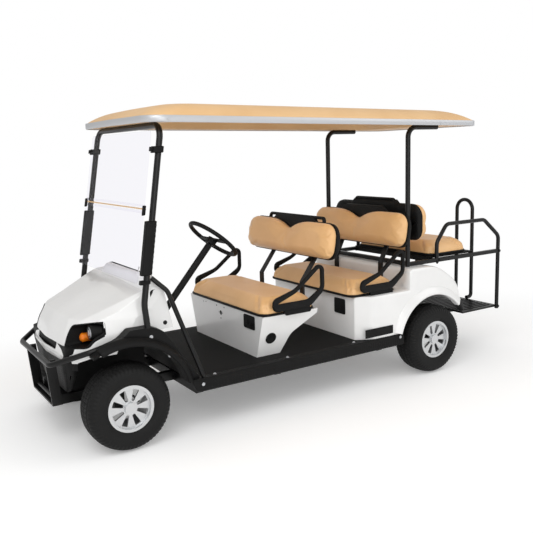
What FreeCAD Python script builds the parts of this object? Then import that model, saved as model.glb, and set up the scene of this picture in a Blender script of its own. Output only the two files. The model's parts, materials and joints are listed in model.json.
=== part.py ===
"""Stretched golf cart: six places, a full roof, a folding windshield and a rear-facing seat.

X points forward, Y to the cart's left, Z up. The origin is on the ground under the middle of the
whole length. Lengths are in millimetres. Places along the cart are measured from the front axle
for the front half and from the rear axle for the rear half.
"""
import FreeCAD, Part
import math
import os
import re
from types import SimpleNamespace

V = FreeCAD.Vector
os.makedirs("parts", exist_ok=True)

# Driving sizes, written into the sheet as plain numbers
SIZES = dict(
    # Whole cart
    wheelbase=2490, front_overhang=405, rear_overhang=980, seat_gap=0.3, cut_overrun=20,
    # Wheels and tyres
    tyre_radius=266, tyre_width=215, tyre_shoulder=52, bead_radius=133, rim_lip_radius=144,
    rim_lip_width=9, rim_width=178, barrel_wall=7, rim_disc_inset=20, rim_disc_thickness=14,
    hub_radius=36, hub_height=16, spoke_count=8, spoke_window_width=40, spoke_window_taper=18,
    spoke_ring=20, front_wheel_offset=507, rear_wheel_offset=552, tread_groove_width=7,
    tread_groove_depth=7, tread_groove_spread=34,
    # Front axle, knuckles and tie rod
    kingpin_offset=350, kingpin_radius=10, eye_radius=24, eye_height=80, beam_height=22,
    beam_depth=60, beam_level=238, ear_thickness=16, ear_reach=34, knuckle_web=16, web_gap=5,
    spindle_radius=16, arm_length=130, arm_width=30, arm_thickness=12, rod_radius=7,
    rod_eye_radius=15, rod_pin_radius=6, pin_clearance=0.05, open_pin_clearance=0.8,
    kingpin_clearance=0.05,
    # Rear axle and power unit
    axle_tube_radius=36, diff_radius=85, diff_width=190, drum_radius=80, drum_width=60,
    unit_length=420, unit_width=460, unit_height=260, unit_ahead=40,
    # Chassis rails
    rail_width=46, rail_height=60, rail_offset=195, rail_level=281, rail_front_reach=300,
    rail_kick_start=455, rail_kick_end=310, rail_rear_level=398, rail_rear_reach=360,
    rail_drop_end=470, carrier_height=40, cross_depth=50,
    # Floor and rockers
    floor_half_width=555, floor_thickness=18, floor_top=360, toe_foot=425, toe_head=196,
    floor_rear=470, rocker_width=62, rocker_height=86, rocker_front=392, rocker_rear=312,
    rocker_chamfer=12,
    # Cowl
    cowl_wall=6, cowl_half_width=500, cowl_nose_reach=335, cowl_corner_reach=292,
    cowl_corner_half=385, cowl_cheek_reach=185, cowl_cheek_half=468, cowl_side_start=20,
    cowl_bottom=548, cowl_cheek_bottom=578, cowl_arch_top=692, cowl_arch_ahead=20,
    cowl_hood_front=242, cowl_hood_front_level=772, cowl_hood_back=125,
    cowl_hood_back_level=930, cowl_rim_reach=172, cowl_rim_level=1028, cowl_rim_back=215,
    cowl_side_back=342, cowl_brow_back=290, cowl_brow_level=930, cowl_badge_reach=296,
    cowl_badge_level=700,
    # Hood middle panel
    # Lamps and grille
    lamp_low=640, lamp_high=825, lamp_inner=352, lamp_outer=476, lamp_depth=95, bucket_wall=4,
    lens_radius=42, lens_depth=40, lens_offset=424, lens_level=748, amber_radius=29,
    amber_depth=70, amber_offset=388, amber_level=686, lamp_tuck=26, lamp_brow=42,
    lamp_corner=14, grille_low=590, grille_rise=18, grille_high=642, grille_half_width=205,
    grille_depth=22,
    # Dash
    dash_thickness=18, dash_bottom=752,
    # Front bumper
    bumper_radius=17, bumper_level=545, bumper_half_width=335, bumper_mid_reach=197,
    bumper_mid_level=623, bumper_mid_half=491, bumper_end_back=64, bumper_end_level=689,
    bumper_end_half=524, bumper_bend=55, bumper_plate_half=225, bumper_plate_thickness=10,
    bumper_plate_width=62, bumper_bar_radius=13,
    # Front fenders
    arch_radius=384, lip_depth=34, lip_width=72, panel_thickness=22, fender_offset=557,
    fender_top=736, fender_front=22, fender_rear_foot=470, fender_rear_top=238,
    fender_shelf_front=40, fender_shelf_rear=165, cover_wall=8,
    # Cowl braces
    brace_radius=15, brace_top=1024, brace_top_back=206, brace_knee=935, brace_knee_back=294,
    brace_foot_back=493, brace_knee_offset=545, brace_bend=90,
    # Roof supports
    strut_radius=19, strut_offset=566, strut_foot_back=130, strut_knee_back=117,
    strut_knee=885, strut_lean=0.153, header_bend=90, rear_strut_back=2336,
    rear_strut_offset=490, rear_strut_bend=75, roof_rail_length=300,
    # Roof
    roof_bottom=1915, roof_edge_height=34, roof_half_width=585, roof_front_reach=15,
    roof_front_bow=90, roof_length=3060, roof_crown=128, roof_corner=110, roof_front_round=1500, roof_brow=420,
    roof_tail=230, roof_side_slope=150, roof_wall=24, roof_recess_front=330,
    roof_recess_half=440, trim_thickness=7, trim_height=40,
    # Windshield
    glass_half_width=504, glass_thickness=6, glass_ahead=26, glass_bottom=992,
    glass_split=1420, glass_joint=12, glass_top=1884, hinge_half_width=506, hinge_height=26,
    hinge_depth=10, sleeve_low=1052, sleeve_high=1372, sleeve_half=26, clip_level=1770,
    clip_height=36, clip_half=27,
    # Steering
    wheel_hub_back=763, wheel_hub_offset=280, wheel_hub_level=1184, column_pitch=49,
    wheel_radius=178, wheel_grip_radius=14, wheel_hub_radius=34, wheel_hub_height=42,
    wheel_spoke_width=34, wheel_spoke_thickness=10, column_radius=22, column_length=790,
    boot_radius=48, boot_length=170, boot_tip_radius=27, wheel_clearance=6, shaft_radius=11,
    # Pedals
    pedal_width=90, pedal_length=120, pedal_thickness=12, pedal_offset=140, pedal_spread=60,
    pedal_arm=16, pedal_height=60, pedal_foot=120,
    # Front seat pod
    pod_front=975, pod_foot_rear=1165, pod_rear=1432, pod_top=656, pod_half_top=535,
    pod_half_foot=445, pod_wall=8, pod_hollow_floor=470, pod_waist_back=1232,
    pod_waist_level=500, pod_rear_lip=34, pod_waist_bend=110,
    # Seat cushions shared by the front and the middle seat
    cushion_depth=452, cushion_height=104, cushion_half_width=545, cushion_round=32,
    front_cushion_front=968, mid_cushion_front=1728,
    # Seat backs shared by the front and the middle seat
    back_bottom=985, back_top=1250, back_half_width=565, back_thickness=80, back_face=1500,
    back_lean=0.16, back_round=36, shell_thickness=36, shell_half_width=466, shell_rise=26,
    support_offset=277, support_width=44, support_thickness=14, support_knee=800,
    support_foot_back=1487, support_top=1200, mid_back_setback=700, mid_support_foot_back=2250,
    mid_support_knee=856, mid_back_rise=20,
    # Hip restraints
    restraint_thickness=30, restraint_gap=7, restraint_band=34, restraint_front=1050,
    restraint_rear=1470, restraint_low=690, restraint_high=950, restraint_tab=24, lid_gap=5,
    # Rear body
    body_half_width=600, body_front=716, body_front_half=520, body_wall=8, body_seat_top=682,
    body_seat_rear=240, body_ledge=40, body_deck_rear=40, body_tail_mid=300,
    body_tail_mid_level=655, body_tail_end=345, body_tail_low=505, arch_rear_radius=352,
    rear_lip=30, rear_lip_width=36, tail_lamp_width=60, tail_lamp_height=90,
    tail_lamp_depth=12,
    # Rear seat
    arm_offset=480, arm_radius=16, post_back=908, post_foot=352, post_knee=985, arm_top=1134,
    arm_shoulder=185, arm_front_back=280, arm_front_foot=172, arm_bend=70, rear_rail_level=855,
    rear_rail_height=30, rear_rail_front=-135, deck_gap=7, deck_front=120, deck_plate=14,
    flip_pivot_back=600, flip_ear=40, flip_pin_radius=8, rear_cushion_front=130,
    rear_cushion_rear=572, rear_cushion_half=452, rear_cushion_height=104,
    rear_cushion_round=34, rear_back_front=-72, rear_back_bottom=1030, rear_back_top=1312,
    rear_back_half=520, rear_back_thickness=84,
    # Foot plate and grab loop
    plate_front=505, plate_thickness=16, plate_top=377, plate_rib_height=5, plate_rib_width=12,
    plate_rib_pitch=40, loop_half=88, loop_radius=16, loop_top=1284, loop_offset=60,
    loop_bend=60,
)

doc = FreeCAD.newDocument("GolfCart")
sheet = doc.addObject("Spreadsheet::Sheet", "Sizes")
for row, (alias, value) in enumerate(SIZES.items(), 1):
    sheet.set(f"A{row}", alias)
    sheet.set(f"B{row}", str(value))
    sheet.setAlias(f"B{row}", alias)
doc.recompute()
d = SimpleNamespace(**{alias: float(sheet.get(alias)) for alias in SIZES})

# Places that several pieces share
FRONT_X = "((wheelbase + rear_overhang - front_overhang) / 2)"
REAR_X = f"({FRONT_X} - wheelbase)"
fx = (d.wheelbase + d.rear_overhang - d.front_overhang) / 2
rx = fx - d.wheelbase
NODES = []


# Objects bound to the sheet
def sized(expression):
    """Put the sheet's name before each size named in an expression."""
    def named(match):
        word = match.group(0)
        return "Sizes." + word if word in SIZES else word
    return re.sub(r"[a-z][a-z_]+", named, expression)


def bind(item, **sizes):
    for name, expression in sizes.items():
        item.setExpression(name, sized(expression))
    return item


def at(item, x="0", y="0", z="0"):
    item.setExpression("Placement.Base.x", sized(x))
    item.setExpression("Placement.Base.y", sized(y))
    item.setExpression("Placement.Base.z", sized(z))
    return item


def finish(item, label):
    """Call an object of the document a finished sub-part."""
    item.Label = label
    NODES.append(item)
    return item


def feature(label, shape):
    """A sub-part whose form no primitive gives."""
    item = doc.addObject("Part::Feature", label)
    item.Shape = shape
    return finish(item, label)


def box(name, length, width, height, x, y, z):
    item = doc.addObject("Part::Box", name)
    return at(bind(item, Length=length, Width=width, Height=height), x, y, z)


def rod_across(name, radius, length, x, y, z):
    """A cylinder along Y that starts at y."""
    item = doc.addObject("Part::Cylinder", name)
    item.Placement.Rotation = FreeCAD.Rotation(V(1, 0, 0), -90)
    return at(bind(item, Radius=radius, Height=length), x, y, z)


def joined(name, pieces):
    item = doc.addObject("Part::MultiFuse", name)
    item.Shapes = pieces
    return item


def cut(name, base, tool):
    item = doc.addObject("Part::Cut", name)
    item.Base = base
    item.Tool = tool
    return item


# Forms
def rounded_wire(points, radii, closed=False):
    """Straight runs through the points, joined by tangent arcs of the given radii."""
    count = len(points)
    if not isinstance(radii, (list, tuple)):
        radii = [radii] * count
    corners = range(count) if closed else range(1, count - 1)
    turns = {}
    for index in corners:
        here = points[index]
        back = (points[index - 1] - here).normalize()
        ahead = (points[(index + 1) % count] - here).normalize()
        half = back.getAngle(ahead) / 2
        radius = radii[index]
        if radius == 0:
            turns[index] = (here, None, here)
            continue
        reach = radius / math.tan(half)
        middle = here + (back + ahead).normalize() * (radius / math.sin(half) - radius)
        turns[index] = (here + back * reach, middle, here + ahead * reach)
    edges = []

    def line(start, end):
        if start.distanceToPoint(end) > 0:
            edges.append(Part.LineSegment(start, end).toShape())

    start = turns[0][2] if closed else points[0]
    order = list(corners)[1:] + [0] if closed else list(corners)
    for index in order:
        entry, middle, leave = turns[index]
        line(start, entry)
        if middle:
            edges.append(Part.Arc(entry, middle, leave).toShape())
        start = leave
    if not closed:
        line(start, points[-1])
    return Part.Wire(edges)


def tube(points, radius, bend):
    """A round tube along straight runs and bends."""
    path = rounded_wire(points, bend)
    ring = Part.Wire([Part.makeCircle(radius, points[0], points[1] - points[0])])
    return path.makePipeShell([ring], True, False)


def side_prism(points, y_low, y_high, radii=0):
    """A side outline of (x, z) points, carried from y_low to y_high."""
    wire = rounded_wire([V(x, y_low, z) for x, z in points], radii, closed=True)
    return Part.Face(wire).extrude(V(0, y_high - y_low, 0))


def plan_prism(points, z_low, z_high, radii=0):
    """A plan outline of (x, y) points, carried from z_low to z_high."""
    wire = rounded_wire([V(x, y, z_low) for x, y in points], radii, closed=True)
    return Part.Face(wire).extrude(V(0, 0, z_high - z_low))


def front_prism(points, x_low, x_high, radii=0):
    """A front outline of (y, z) points, carried from x_low to x_high."""
    wire = rounded_wire([V(x_low, y, z) for y, z in points], radii, closed=True)
    return Part.Face(wire).extrude(V(x_high - x_low, 0, 0))


def block(x_low, x_high, y_low, y_high, z_low, z_high):
    return Part.makeBox(x_high - x_low, y_high - y_low, z_high - z_low, V(x_low, y_low, z_low))


def soft_block(x_low, x_high, half_width, z_low, z_high, radius):
    """A cushion's plain solid: a block with all its edges rounded."""
    solid = block(x_low, x_high, -half_width, half_width, z_low, z_high)
    return solid.makeFillet(radius, solid.Edges)


def bar(line, height, y_low, y_high):
    """A flat bar about a side view middle line of (x, z) points, measured upright."""
    upper = [(x, z + height / 2) for x, z in line]
    lower = [(x, z - height / 2) for x, z in reversed(line)]
    return side_prism(upper + lower, y_low, y_high)


def post(line, depth, y_low, y_high):
    """A standing bar about a side view middle line of (x, z) points, measured fore and aft."""
    ahead = [(x + depth / 2, z) for x, z in line]
    behind = [(x - depth / 2, z) for x, z in reversed(line)]
    return side_prism(ahead + behind, y_low, y_high)


def fused(shapes):
    return shapes[0].multiFuse(shapes[1:]).removeSplitter()


def mirrored(shape):
    return shape.mirror(V(0, 0, 0), V(0, 1, 0))


def pair(shape):
    """The left piece and its mirror image, as two solids that don't touch."""
    return Part.makeCompound([shape, mirrored(shape)])


def cylinder(radius, start, end):
    axis = end - start
    return Part.makeCylinder(radius, axis.Length, start, axis)


# Tyres and wheels
def wheel_profile(points, x, y, side):
    """A closed profile of (y outwards, radius) points, turned about the axle."""
    wire = rounded_wire([V(x, y + side * out, d.tyre_radius + r) for out, r in points], 0, True)
    return Part.Face(wire).revolve(V(x, y, d.tyre_radius), V(0, 1, 0), 360)


def tyre(name, x, y, side):
    """A rounded ring on the rim's beads, with grooves round its tread."""
    half = d.tyre_width / 2
    inner = d.bead_radius + d.seat_gap
    outer = d.tyre_radius
    bead_half = d.rim_width / 2 - d.rim_lip_width - d.seat_gap
    points = [
        (-bead_half, inner), (-bead_half, d.rim_lip_radius + d.seat_gap),
        (-half, (inner + outer) / 2), (-half, outer), (half, outer),
        (half, (inner + outer) / 2), (bead_half, d.rim_lip_radius + d.seat_gap),
        (bead_half, inner),
    ]
    radii = [0, 0, d.tyre_shoulder / 2, d.tyre_shoulder, d.tyre_shoulder, d.tyre_shoulder / 2,
             0, 0]
    wire = rounded_wire([V(x, y + side * out, d.tyre_radius + r) for out, r in points],
                        radii, True)
    solid = Part.Face(wire).revolve(V(x, y, d.tyre_radius), V(0, 1, 0), 360)
    for place in (-1, 0, 1):
        low = place * d.tread_groove_spread - d.tread_groove_width / 2
        groove = [(low, outer - d.tread_groove_depth), (low, outer + d.cut_overrun),
                  (low + d.tread_groove_width, outer + d.cut_overrun),
                  (low + d.tread_groove_width, outer - d.tread_groove_depth)]
        solid = solid.cut(wheel_profile(groove, x, y, side))
    return feature(name, solid)


def rim(name, x, y, side):
    """A drawn barrel with lips, and a dished disc with windows between its spokes."""
    half = d.rim_width / 2
    lip = half - d.rim_lip_width
    wall = d.bead_radius - d.barrel_wall
    disc_out = half - d.rim_disc_inset
    disc_in = disc_out - d.rim_disc_thickness
    barrel = wheel_profile([
        (-half, wall), (-half, d.rim_lip_radius), (-lip, d.rim_lip_radius),
        (-lip, d.bead_radius), (lip, d.bead_radius), (lip, d.rim_lip_radius),
        (half, d.rim_lip_radius), (half, wall)], x, y, side)
    centre = V(x, y, d.tyre_radius)
    disc = cylinder(wall, centre + V(0, side * disc_in, 0), centre + V(0, side * disc_out, 0))
    cap = cylinder(d.hub_radius, centre + V(0, side * disc_in, 0),
                   centre + V(0, side * (disc_out + d.hub_height), 0))
    windows = []
    inner = d.hub_radius + d.spoke_ring / 2
    outer = wall - d.spoke_ring / 2
    wide = d.spoke_window_width / 2
    narrow = d.spoke_window_taper / 2
    for index in range(int(d.spoke_count)):
        low_y = y + side * (disc_in - d.cut_overrun)
        window = Part.Face(rounded_wire([
            V(x - narrow, low_y, d.tyre_radius + inner), V(x + narrow, low_y, d.tyre_radius + inner),
            V(x + wide, low_y, d.tyre_radius + outer), V(x - wide, low_y, d.tyre_radius + outer)],
            d.spoke_window_taper / 3, True)).extrude(V(0, side * (d.rim_disc_thickness
                                                                  + 2 * d.cut_overrun), 0))
        window.rotate(centre, V(0, 1, 0), 360 * (index + 0.5) / d.spoke_count)
        windows.append(window)
    disc = disc.cut(Part.makeCompound(windows))
    return feature(name, fused([barrel, disc, cap]))


front_left = (fx, d.front_wheel_offset, 1)
front_right = (fx, -d.front_wheel_offset, -1)
rear_left = (rx, d.rear_wheel_offset, 1)
rear_right = (rx, -d.rear_wheel_offset, -1)
for corner, spot in (("front_left", front_left), ("front_right", front_right),
                     ("rear_left", rear_left), ("rear_right", rear_right)):
    tyre("tyre_" + corner, *spot)
    rim("wheel_" + corner, *spot)


# Front axle: a beam with an eye at each end
eye_low = d.tyre_radius - d.eye_height / 2
eye_high = d.tyre_radius + d.eye_height / 2


def kingpin(radius, low, high, side):
    return cylinder(radius, V(fx, side * d.kingpin_offset, low), V(fx, side * d.kingpin_offset, high))


beam = block(fx - d.beam_depth / 2, fx + d.beam_depth / 2, -d.kingpin_offset, d.kingpin_offset,
             d.beam_level - d.beam_height / 2, d.beam_level + d.beam_height / 2)
eyes = [kingpin(d.eye_radius, eye_low, eye_high, side) for side in (1, -1)]
holes = [kingpin(d.kingpin_radius + d.kingpin_clearance, eye_low - d.cut_overrun,
                 eye_high + d.cut_overrun, side) for side in (1, -1)]
feature("front_axle_beam", fused([beam] + eyes).cut(Part.makeCompound(holes)))


# Knuckles: two ears and a web round the eye, the kingpin, the spindle and a steering arm
arm_low = eye_low - d.seat_gap - d.ear_thickness
arm_high = arm_low + d.arm_thickness


def knuckle(name, side, pin_gap):
    ear_low = eye_low - d.seat_gap - d.ear_thickness
    ear_high = eye_high + d.seat_gap + d.ear_thickness
    web_in = d.kingpin_offset + d.eye_radius + d.web_gap
    web_out = web_in + d.knuckle_web
    half = d.ear_reach
    ears = [
        block(fx - half, fx + half, d.kingpin_offset - d.eye_radius, web_out, low,
              low + d.ear_thickness)
        for low in (ear_low, ear_high - d.ear_thickness)]
    web = block(fx - half, fx + half, web_in, web_out, ear_low, ear_high)
    pin = kingpin(d.kingpin_radius, ear_low, ear_high, 1)
    disc_in = d.front_wheel_offset + d.rim_width / 2 - d.rim_disc_inset - d.rim_disc_thickness
    spindle = cylinder(d.spindle_radius, V(fx, web_out, d.tyre_radius),
                       V(fx, disc_in - d.seat_gap, d.tyre_radius))
    arm = plan_prism([
        (fx, d.kingpin_offset - d.arm_width / 2), (fx, d.kingpin_offset + d.arm_width / 2),
        (fx - d.arm_length - d.arm_width / 2, d.kingpin_offset + d.arm_width / 2),
        (fx - d.arm_length - d.arm_width / 2, d.kingpin_offset - d.arm_width / 2)],
        ear_low, ear_low + d.arm_thickness, [0, 0, d.arm_width / 3, d.arm_width / 3])
    shape = fused(ears + [web, pin, spindle, arm])
    hole = cylinder(d.rod_pin_radius + pin_gap,
                    V(fx - d.arm_length, d.kingpin_offset, ear_low - d.cut_overrun),
                    V(fx - d.arm_length, d.kingpin_offset, arm_high + d.cut_overrun))
    shape = shape.cut(hole)
    return feature(name, shape if side > 0 else mirrored(shape))


knuckle("knuckle_left", 1, d.pin_clearance)
knuckle("knuckle_right", -1, d.open_pin_clearance)

# Tie rod above the two steering arms
rod_level = arm_high + d.seat_gap + d.rod_eye_radius / 2
rod_parts = [cylinder(d.rod_radius, V(fx - d.arm_length, -d.kingpin_offset, rod_level),
                      V(fx - d.arm_length, d.kingpin_offset, rod_level))]
for side in (1, -1):
    place = V(fx - d.arm_length, side * d.kingpin_offset, 0)
    rod_parts.append(cylinder(d.rod_eye_radius, place + V(0, 0, arm_high + d.seat_gap),
                              place + V(0, 0, arm_high + d.seat_gap + d.rod_eye_radius)))
    rod_parts.append(cylinder(d.rod_pin_radius, place + V(0, 0, arm_low),
                              place + V(0, 0, rod_level)))
feature("tie_rod", fused(rod_parts))

# Rear axle: tubes, the final drive's swell and the brake drums
drum_out = d.rear_wheel_offset - d.rim_width / 2 + d.drum_width / 2
axle_end = (d.rear_wheel_offset + d.rim_width / 2 - d.rim_disc_inset - d.rim_disc_thickness
            - d.seat_gap)
axle_centre = V(rx, 0, d.tyre_radius)
axle_shapes = [
    cylinder(d.axle_tube_radius, V(rx, -drum_out, d.tyre_radius), V(rx, drum_out, d.tyre_radius)),
    cylinder(d.spindle_radius, V(rx, -axle_end, d.tyre_radius), V(rx, axle_end, d.tyre_radius)),
    cylinder(d.diff_radius, V(rx, -d.diff_width / 2, d.tyre_radius),
             V(rx, d.diff_width / 2, d.tyre_radius)),
]
for side in (1, -1):
    axle_shapes.append(cylinder(
        d.drum_radius, V(rx, side * (drum_out - d.drum_width), d.tyre_radius),
        V(rx, side * drum_out, d.tyre_radius)))
feature("rear_axle", fused(axle_shapes))

# Power unit: one plain block over the rear axle
unit = box("PowerUnitBlock", "unit_length", "unit_width", "unit_height",
           f"{REAR_X} + unit_ahead - unit_length / 2", "-unit_width / 2",
           "rail_rear_level + rail_height / 2 + seat_gap")
finish(unit, "power_unit")

# Chassis: two rails that rise over the rear axle and drop to carry the foot plate
carrier_level = d.plate_top - d.plate_thickness - d.seat_gap - d.carrier_height / 2
plate_rear = d.post_back - d.arm_radius
rail_line = [
    (fx + d.rail_front_reach, d.rail_level), (rx + d.rail_kick_start, d.rail_level),
    (rx + d.rail_kick_end, d.rail_rear_level), (rx - d.rail_rear_reach, d.rail_rear_level),
    (rx - d.rail_drop_end, carrier_level), (rx - plate_rear, carrier_level)]
rail_in = d.rail_offset - d.rail_width / 2
rail_out = d.rail_offset + d.rail_width / 2
carrier_cut = block(rx - plate_rear - d.cut_overrun, rx - d.rail_drop_end, -rail_out, rail_out,
                    carrier_level + d.carrier_height / 2, d.rail_rear_level + d.rail_height)
rails = [bar(rail_line, d.rail_height, rail_in, rail_out)]
rails.append(mirrored(rails[0]))
rail_low = d.rail_level - d.rail_height / 2
rail_high = d.rail_level + d.rail_height / 2


def cross(x, low, high, half):
    return block(x - d.cross_depth / 2, x + d.cross_depth / 2, -half, half, low, high)


pod_middle = fx - (d.pod_front + d.pod_foot_rear) / 2
crosses = [
    cross(fx + d.rail_front_reach - d.cross_depth / 2, rail_low, rail_high, rail_out),
    cross(pod_middle, rail_low, rail_high, d.floor_half_width),
    cross(rx + d.rail_kick_start + d.cross_depth, rail_low, rail_high, d.floor_half_width),
    cross(fx - d.toe_foot - d.cross_depth, rail_low, rail_high, d.floor_half_width),
    cross(rx - d.rail_rear_reach + d.cross_depth, d.rail_rear_level - d.rail_height / 2,
          d.rail_rear_level + d.rail_height / 2, rail_out),
]
posts = [block(fx - d.beam_depth / 2, fx + d.beam_depth / 2, side * d.rail_offset
               - d.rail_width / 2, side * d.rail_offset + d.rail_width / 2,
               d.beam_level + d.beam_height / 2 + d.seat_gap, d.rail_level) for side in (1, -1)]
hangers = [block(rx - d.axle_tube_radius, rx + d.axle_tube_radius,
                 side * d.rail_offset - d.rail_width / 2, side * d.rail_offset + d.rail_width / 2,
                 d.tyre_radius + d.axle_tube_radius + d.seat_gap, d.rail_rear_level)
           for side in (1, -1)]
frame_shape = fused(rails + crosses + posts + hangers).cut(carrier_cut)
feature("chassis_frame", frame_shape)

# Floor pan: a flat floor that turns up into the toe board
toe_level = d.cowl_arch_top - d.seat_gap - d.floor_thickness / 2
floor_line = [(fx - d.toe_head, toe_level), (fx - d.toe_foot, d.floor_top - d.floor_thickness / 2),
              (rx + d.floor_rear, d.floor_top - d.floor_thickness / 2)]
feature("floor_pan", bar(floor_line, d.floor_thickness, -d.floor_half_width, d.floor_half_width))

toe_slope = math.atan2(toe_level - (d.floor_top - d.floor_thickness / 2), d.toe_foot - d.toe_head)
toe_face = d.floor_thickness / 2 * math.cos(toe_slope) + d.seat_gap


def toe_point(along, above):
    """A side view point this far up the toe board and this far off its face."""
    return (fx - d.toe_foot + along * math.cos(toe_slope) - (above + toe_face) * math.sin(toe_slope),
            d.floor_top - d.floor_thickness / 2 + along * math.sin(toe_slope)
            + (above + toe_face) * math.cos(toe_slope))


# Rockers along both sides of the floor
rocker_low = d.floor_top - d.rocker_height
rocker = side_prism(
    [(fx - d.rocker_front, d.floor_top), (fx - d.rocker_front - d.rocker_height / 2, rocker_low),
     (rx + d.rocker_rear, rocker_low), (rx + d.rocker_rear, d.floor_top)],
    d.floor_half_width + d.seat_gap, d.floor_half_width + d.seat_gap + d.rocker_width, 0)
outer_edges = [edge for edge in rocker.Edges
               if edge.BoundBox.YMin > d.floor_half_width + d.rocker_width / 2
               and edge.BoundBox.XLength > d.wheelbase / 2]
rocker = rocker.makeChamfer(d.rocker_chamfer, outer_edges)
feature("rockers", pair(rocker))


# Cowl: the side outline and the plan outline carried through each other, hollow below and behind
def cowl_side(inset):
    return [
        (fx + d.cowl_nose_reach - inset, d.cowl_bottom),
        (fx + d.cowl_nose_reach - inset, d.cowl_bottom + (d.grille_high - d.cowl_bottom) / 2),
        (fx + d.cowl_badge_reach - inset, d.cowl_badge_level),
        (fx + d.cowl_hood_front - inset, d.cowl_hood_front_level - inset),
        (fx - d.cowl_hood_back, d.cowl_hood_back_level - inset),
        (fx - d.cowl_rim_reach - inset, d.cowl_rim_level - inset),
        (fx - d.cowl_rim_back, d.cowl_rim_level - inset),
        (fx - d.cowl_brow_back, d.cowl_brow_level),
        (fx - d.cowl_side_back, d.cowl_arch_top),
        (fx - d.cowl_arch_ahead, d.cowl_arch_top),
        (fx + d.cowl_side_start, d.cowl_cheek_bottom),
        (fx + d.cowl_cheek_reach, d.cowl_cheek_bottom),
    ]


def cowl_plan(inset):
    half = d.cowl_half_width - inset
    left = [
        (fx + d.cowl_nose_reach - inset, 0),
        (fx + d.cowl_corner_reach - inset, d.cowl_corner_half - inset),
        (fx + d.cowl_cheek_reach - inset, d.cowl_cheek_half - inset),
        (fx - d.cowl_side_start, half), (fx - d.cowl_side_back - d.cut_overrun, half)]
    return left + [(x, -y) for x, y in reversed(left[1:])]


def cowl_form(inset):
    reach = d.cowl_half_width
    side_form = side_prism(cowl_side(inset), -reach, reach)
    plan_form = plan_prism(cowl_plan(inset), 0, d.cowl_rim_level + d.cut_overrun)
    return side_form.common(plan_form)


cowl_outer = cowl_form(0)
cowl_inner = cowl_form(d.cowl_wall)
cowl_inner = fused([cowl_inner, cowl_inner.translated(V(0, 0, -d.cut_overrun))])
cowl = cowl_outer.cut(cowl_inner)


def lamp_outline(inset):
    """The lamp opening in the front view: a flat foot, a rounded tip and a slanted brow."""
    return [
        (d.lamp_inner + inset, d.lamp_low + inset), (d.lamp_outer - d.lamp_tuck - inset,
                                                     d.lamp_low + inset),
        (d.lamp_outer - inset, (d.lamp_low + d.lamp_high) / 2), (d.lamp_outer - inset,
                                                                 d.lamp_high - inset),
        (d.lamp_inner + inset, d.lamp_high - d.lamp_brow - inset)]


def lamp_prism(inset, back):
    return front_prism(lamp_outline(inset), back, fx + d.cowl_nose_reach + d.cut_overrun,
                       d.lamp_corner)


lamp_back = fx + d.cowl_cheek_reach - d.lamp_depth
opening = lamp_prism(0, lamp_back - d.bucket_wall)
bucket = lamp_prism(d.seat_gap, lamp_back).common(cowl_outer).cut(
    lamp_prism(d.bucket_wall, lamp_back + d.bucket_wall))


def grille_prism(inset, back):
    half = d.grille_half_width - inset
    low = d.grille_low + inset
    high = d.grille_high - inset
    return front_prism([
        (-half, high), (-half + d.grille_rise, low + d.grille_rise), (0, low),
        (half - d.grille_rise, low + d.grille_rise), (half, high), (0, high - d.grille_rise / 2)],
        back, fx + d.cowl_nose_reach + d.cut_overrun, 0)


grille_back = fx + d.cowl_hood_front - d.grille_depth
grille = grille_prism(d.seat_gap, grille_back).common(cowl_form(d.cowl_wall / 2)).cut(
    cowl_form(d.grille_depth))
cowl = cowl.cut(Part.makeCompound([
    opening, mirrored(opening), grille_prism(0, grille_back)]))
feature("front_cowl", cowl)
feature("lamp_buckets", pair(bucket))
feature("grille_insert", grille)


def lamp(radius, length, offset, level):
    """A round lamp on the bucket's back, with a rounded front rim."""
    foot = V(lamp_back + d.bucket_wall + d.seat_gap, offset, level)
    return cylinder(radius, foot, foot + V(length, 0, 0))


feature("headlamps", pair(lamp(d.lens_radius, d.lens_depth, d.lens_offset, d.lens_level)))
feature("turn_lamps", pair(lamp(d.amber_radius, d.amber_depth, d.amber_offset, d.amber_level)))


# Front bumper: one bent tube round the nose and a frame down to the rails
nose_x = fx + d.front_overhang - d.bumper_radius
near_side = [
    V(fx - d.bumper_end_back, d.bumper_end_half, d.bumper_end_level),
    V(fx + d.bumper_mid_reach, d.bumper_mid_half, d.bumper_mid_level),
    V(nose_x, d.bumper_half_width, d.bumper_level)]
far_side = [V(p.x, -p.y, p.z) for p in reversed(near_side)]
bumper = tube(near_side + far_side, d.bumper_radius, d.bumper_bend)
fender_face = fx + d.fender_front + d.seat_gap
bumper = bumper.cut(block(fx - d.bumper_end_back - d.bumper_radius, fender_face,
                          -d.strut_offset, d.strut_offset, d.bumper_level, d.fender_top))
rail_front = fx + d.rail_front_reach
plate_line = [(nose_x - d.bumper_plate_width / 2, d.bumper_level), (rail_front + d.seat_gap + d.bumper_plate_width / 2,
                                         d.rail_level - d.rail_height / 2)]
plate = post(plate_line, d.bumper_plate_width, d.bumper_plate_half - d.bumper_plate_thickness,
             d.bumper_plate_half)
brace_bar = cylinder(d.bumper_bar_radius,
                     V(rail_front + d.seat_gap + d.bumper_plate_width / 2,
                       -d.bumper_plate_half, d.rail_level),
                     V(rail_front + d.seat_gap + d.bumper_plate_width / 2,
                       d.bumper_plate_half, d.rail_level))
low_bar = block(rail_front + d.seat_gap, rail_front + d.seat_gap + d.bumper_plate_width,
                -d.bumper_plate_half, d.bumper_plate_half, rail_low,
                rail_low + d.bumper_plate_thickness)
feature("front_bumper", fused([bumper, plate, mirrored(plate), brace_bar, low_bar]))


# Front fenders: a kick panel with a lip round the wheel arch
def arch_ring(centre_x, inner, outer, y_low, y_high):
    low = V(centre_x, y_low, d.tyre_radius)
    high = V(centre_x, y_high, d.tyre_radius)
    return cylinder(outer, low, high).cut(cylinder(inner, low, high))


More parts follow.
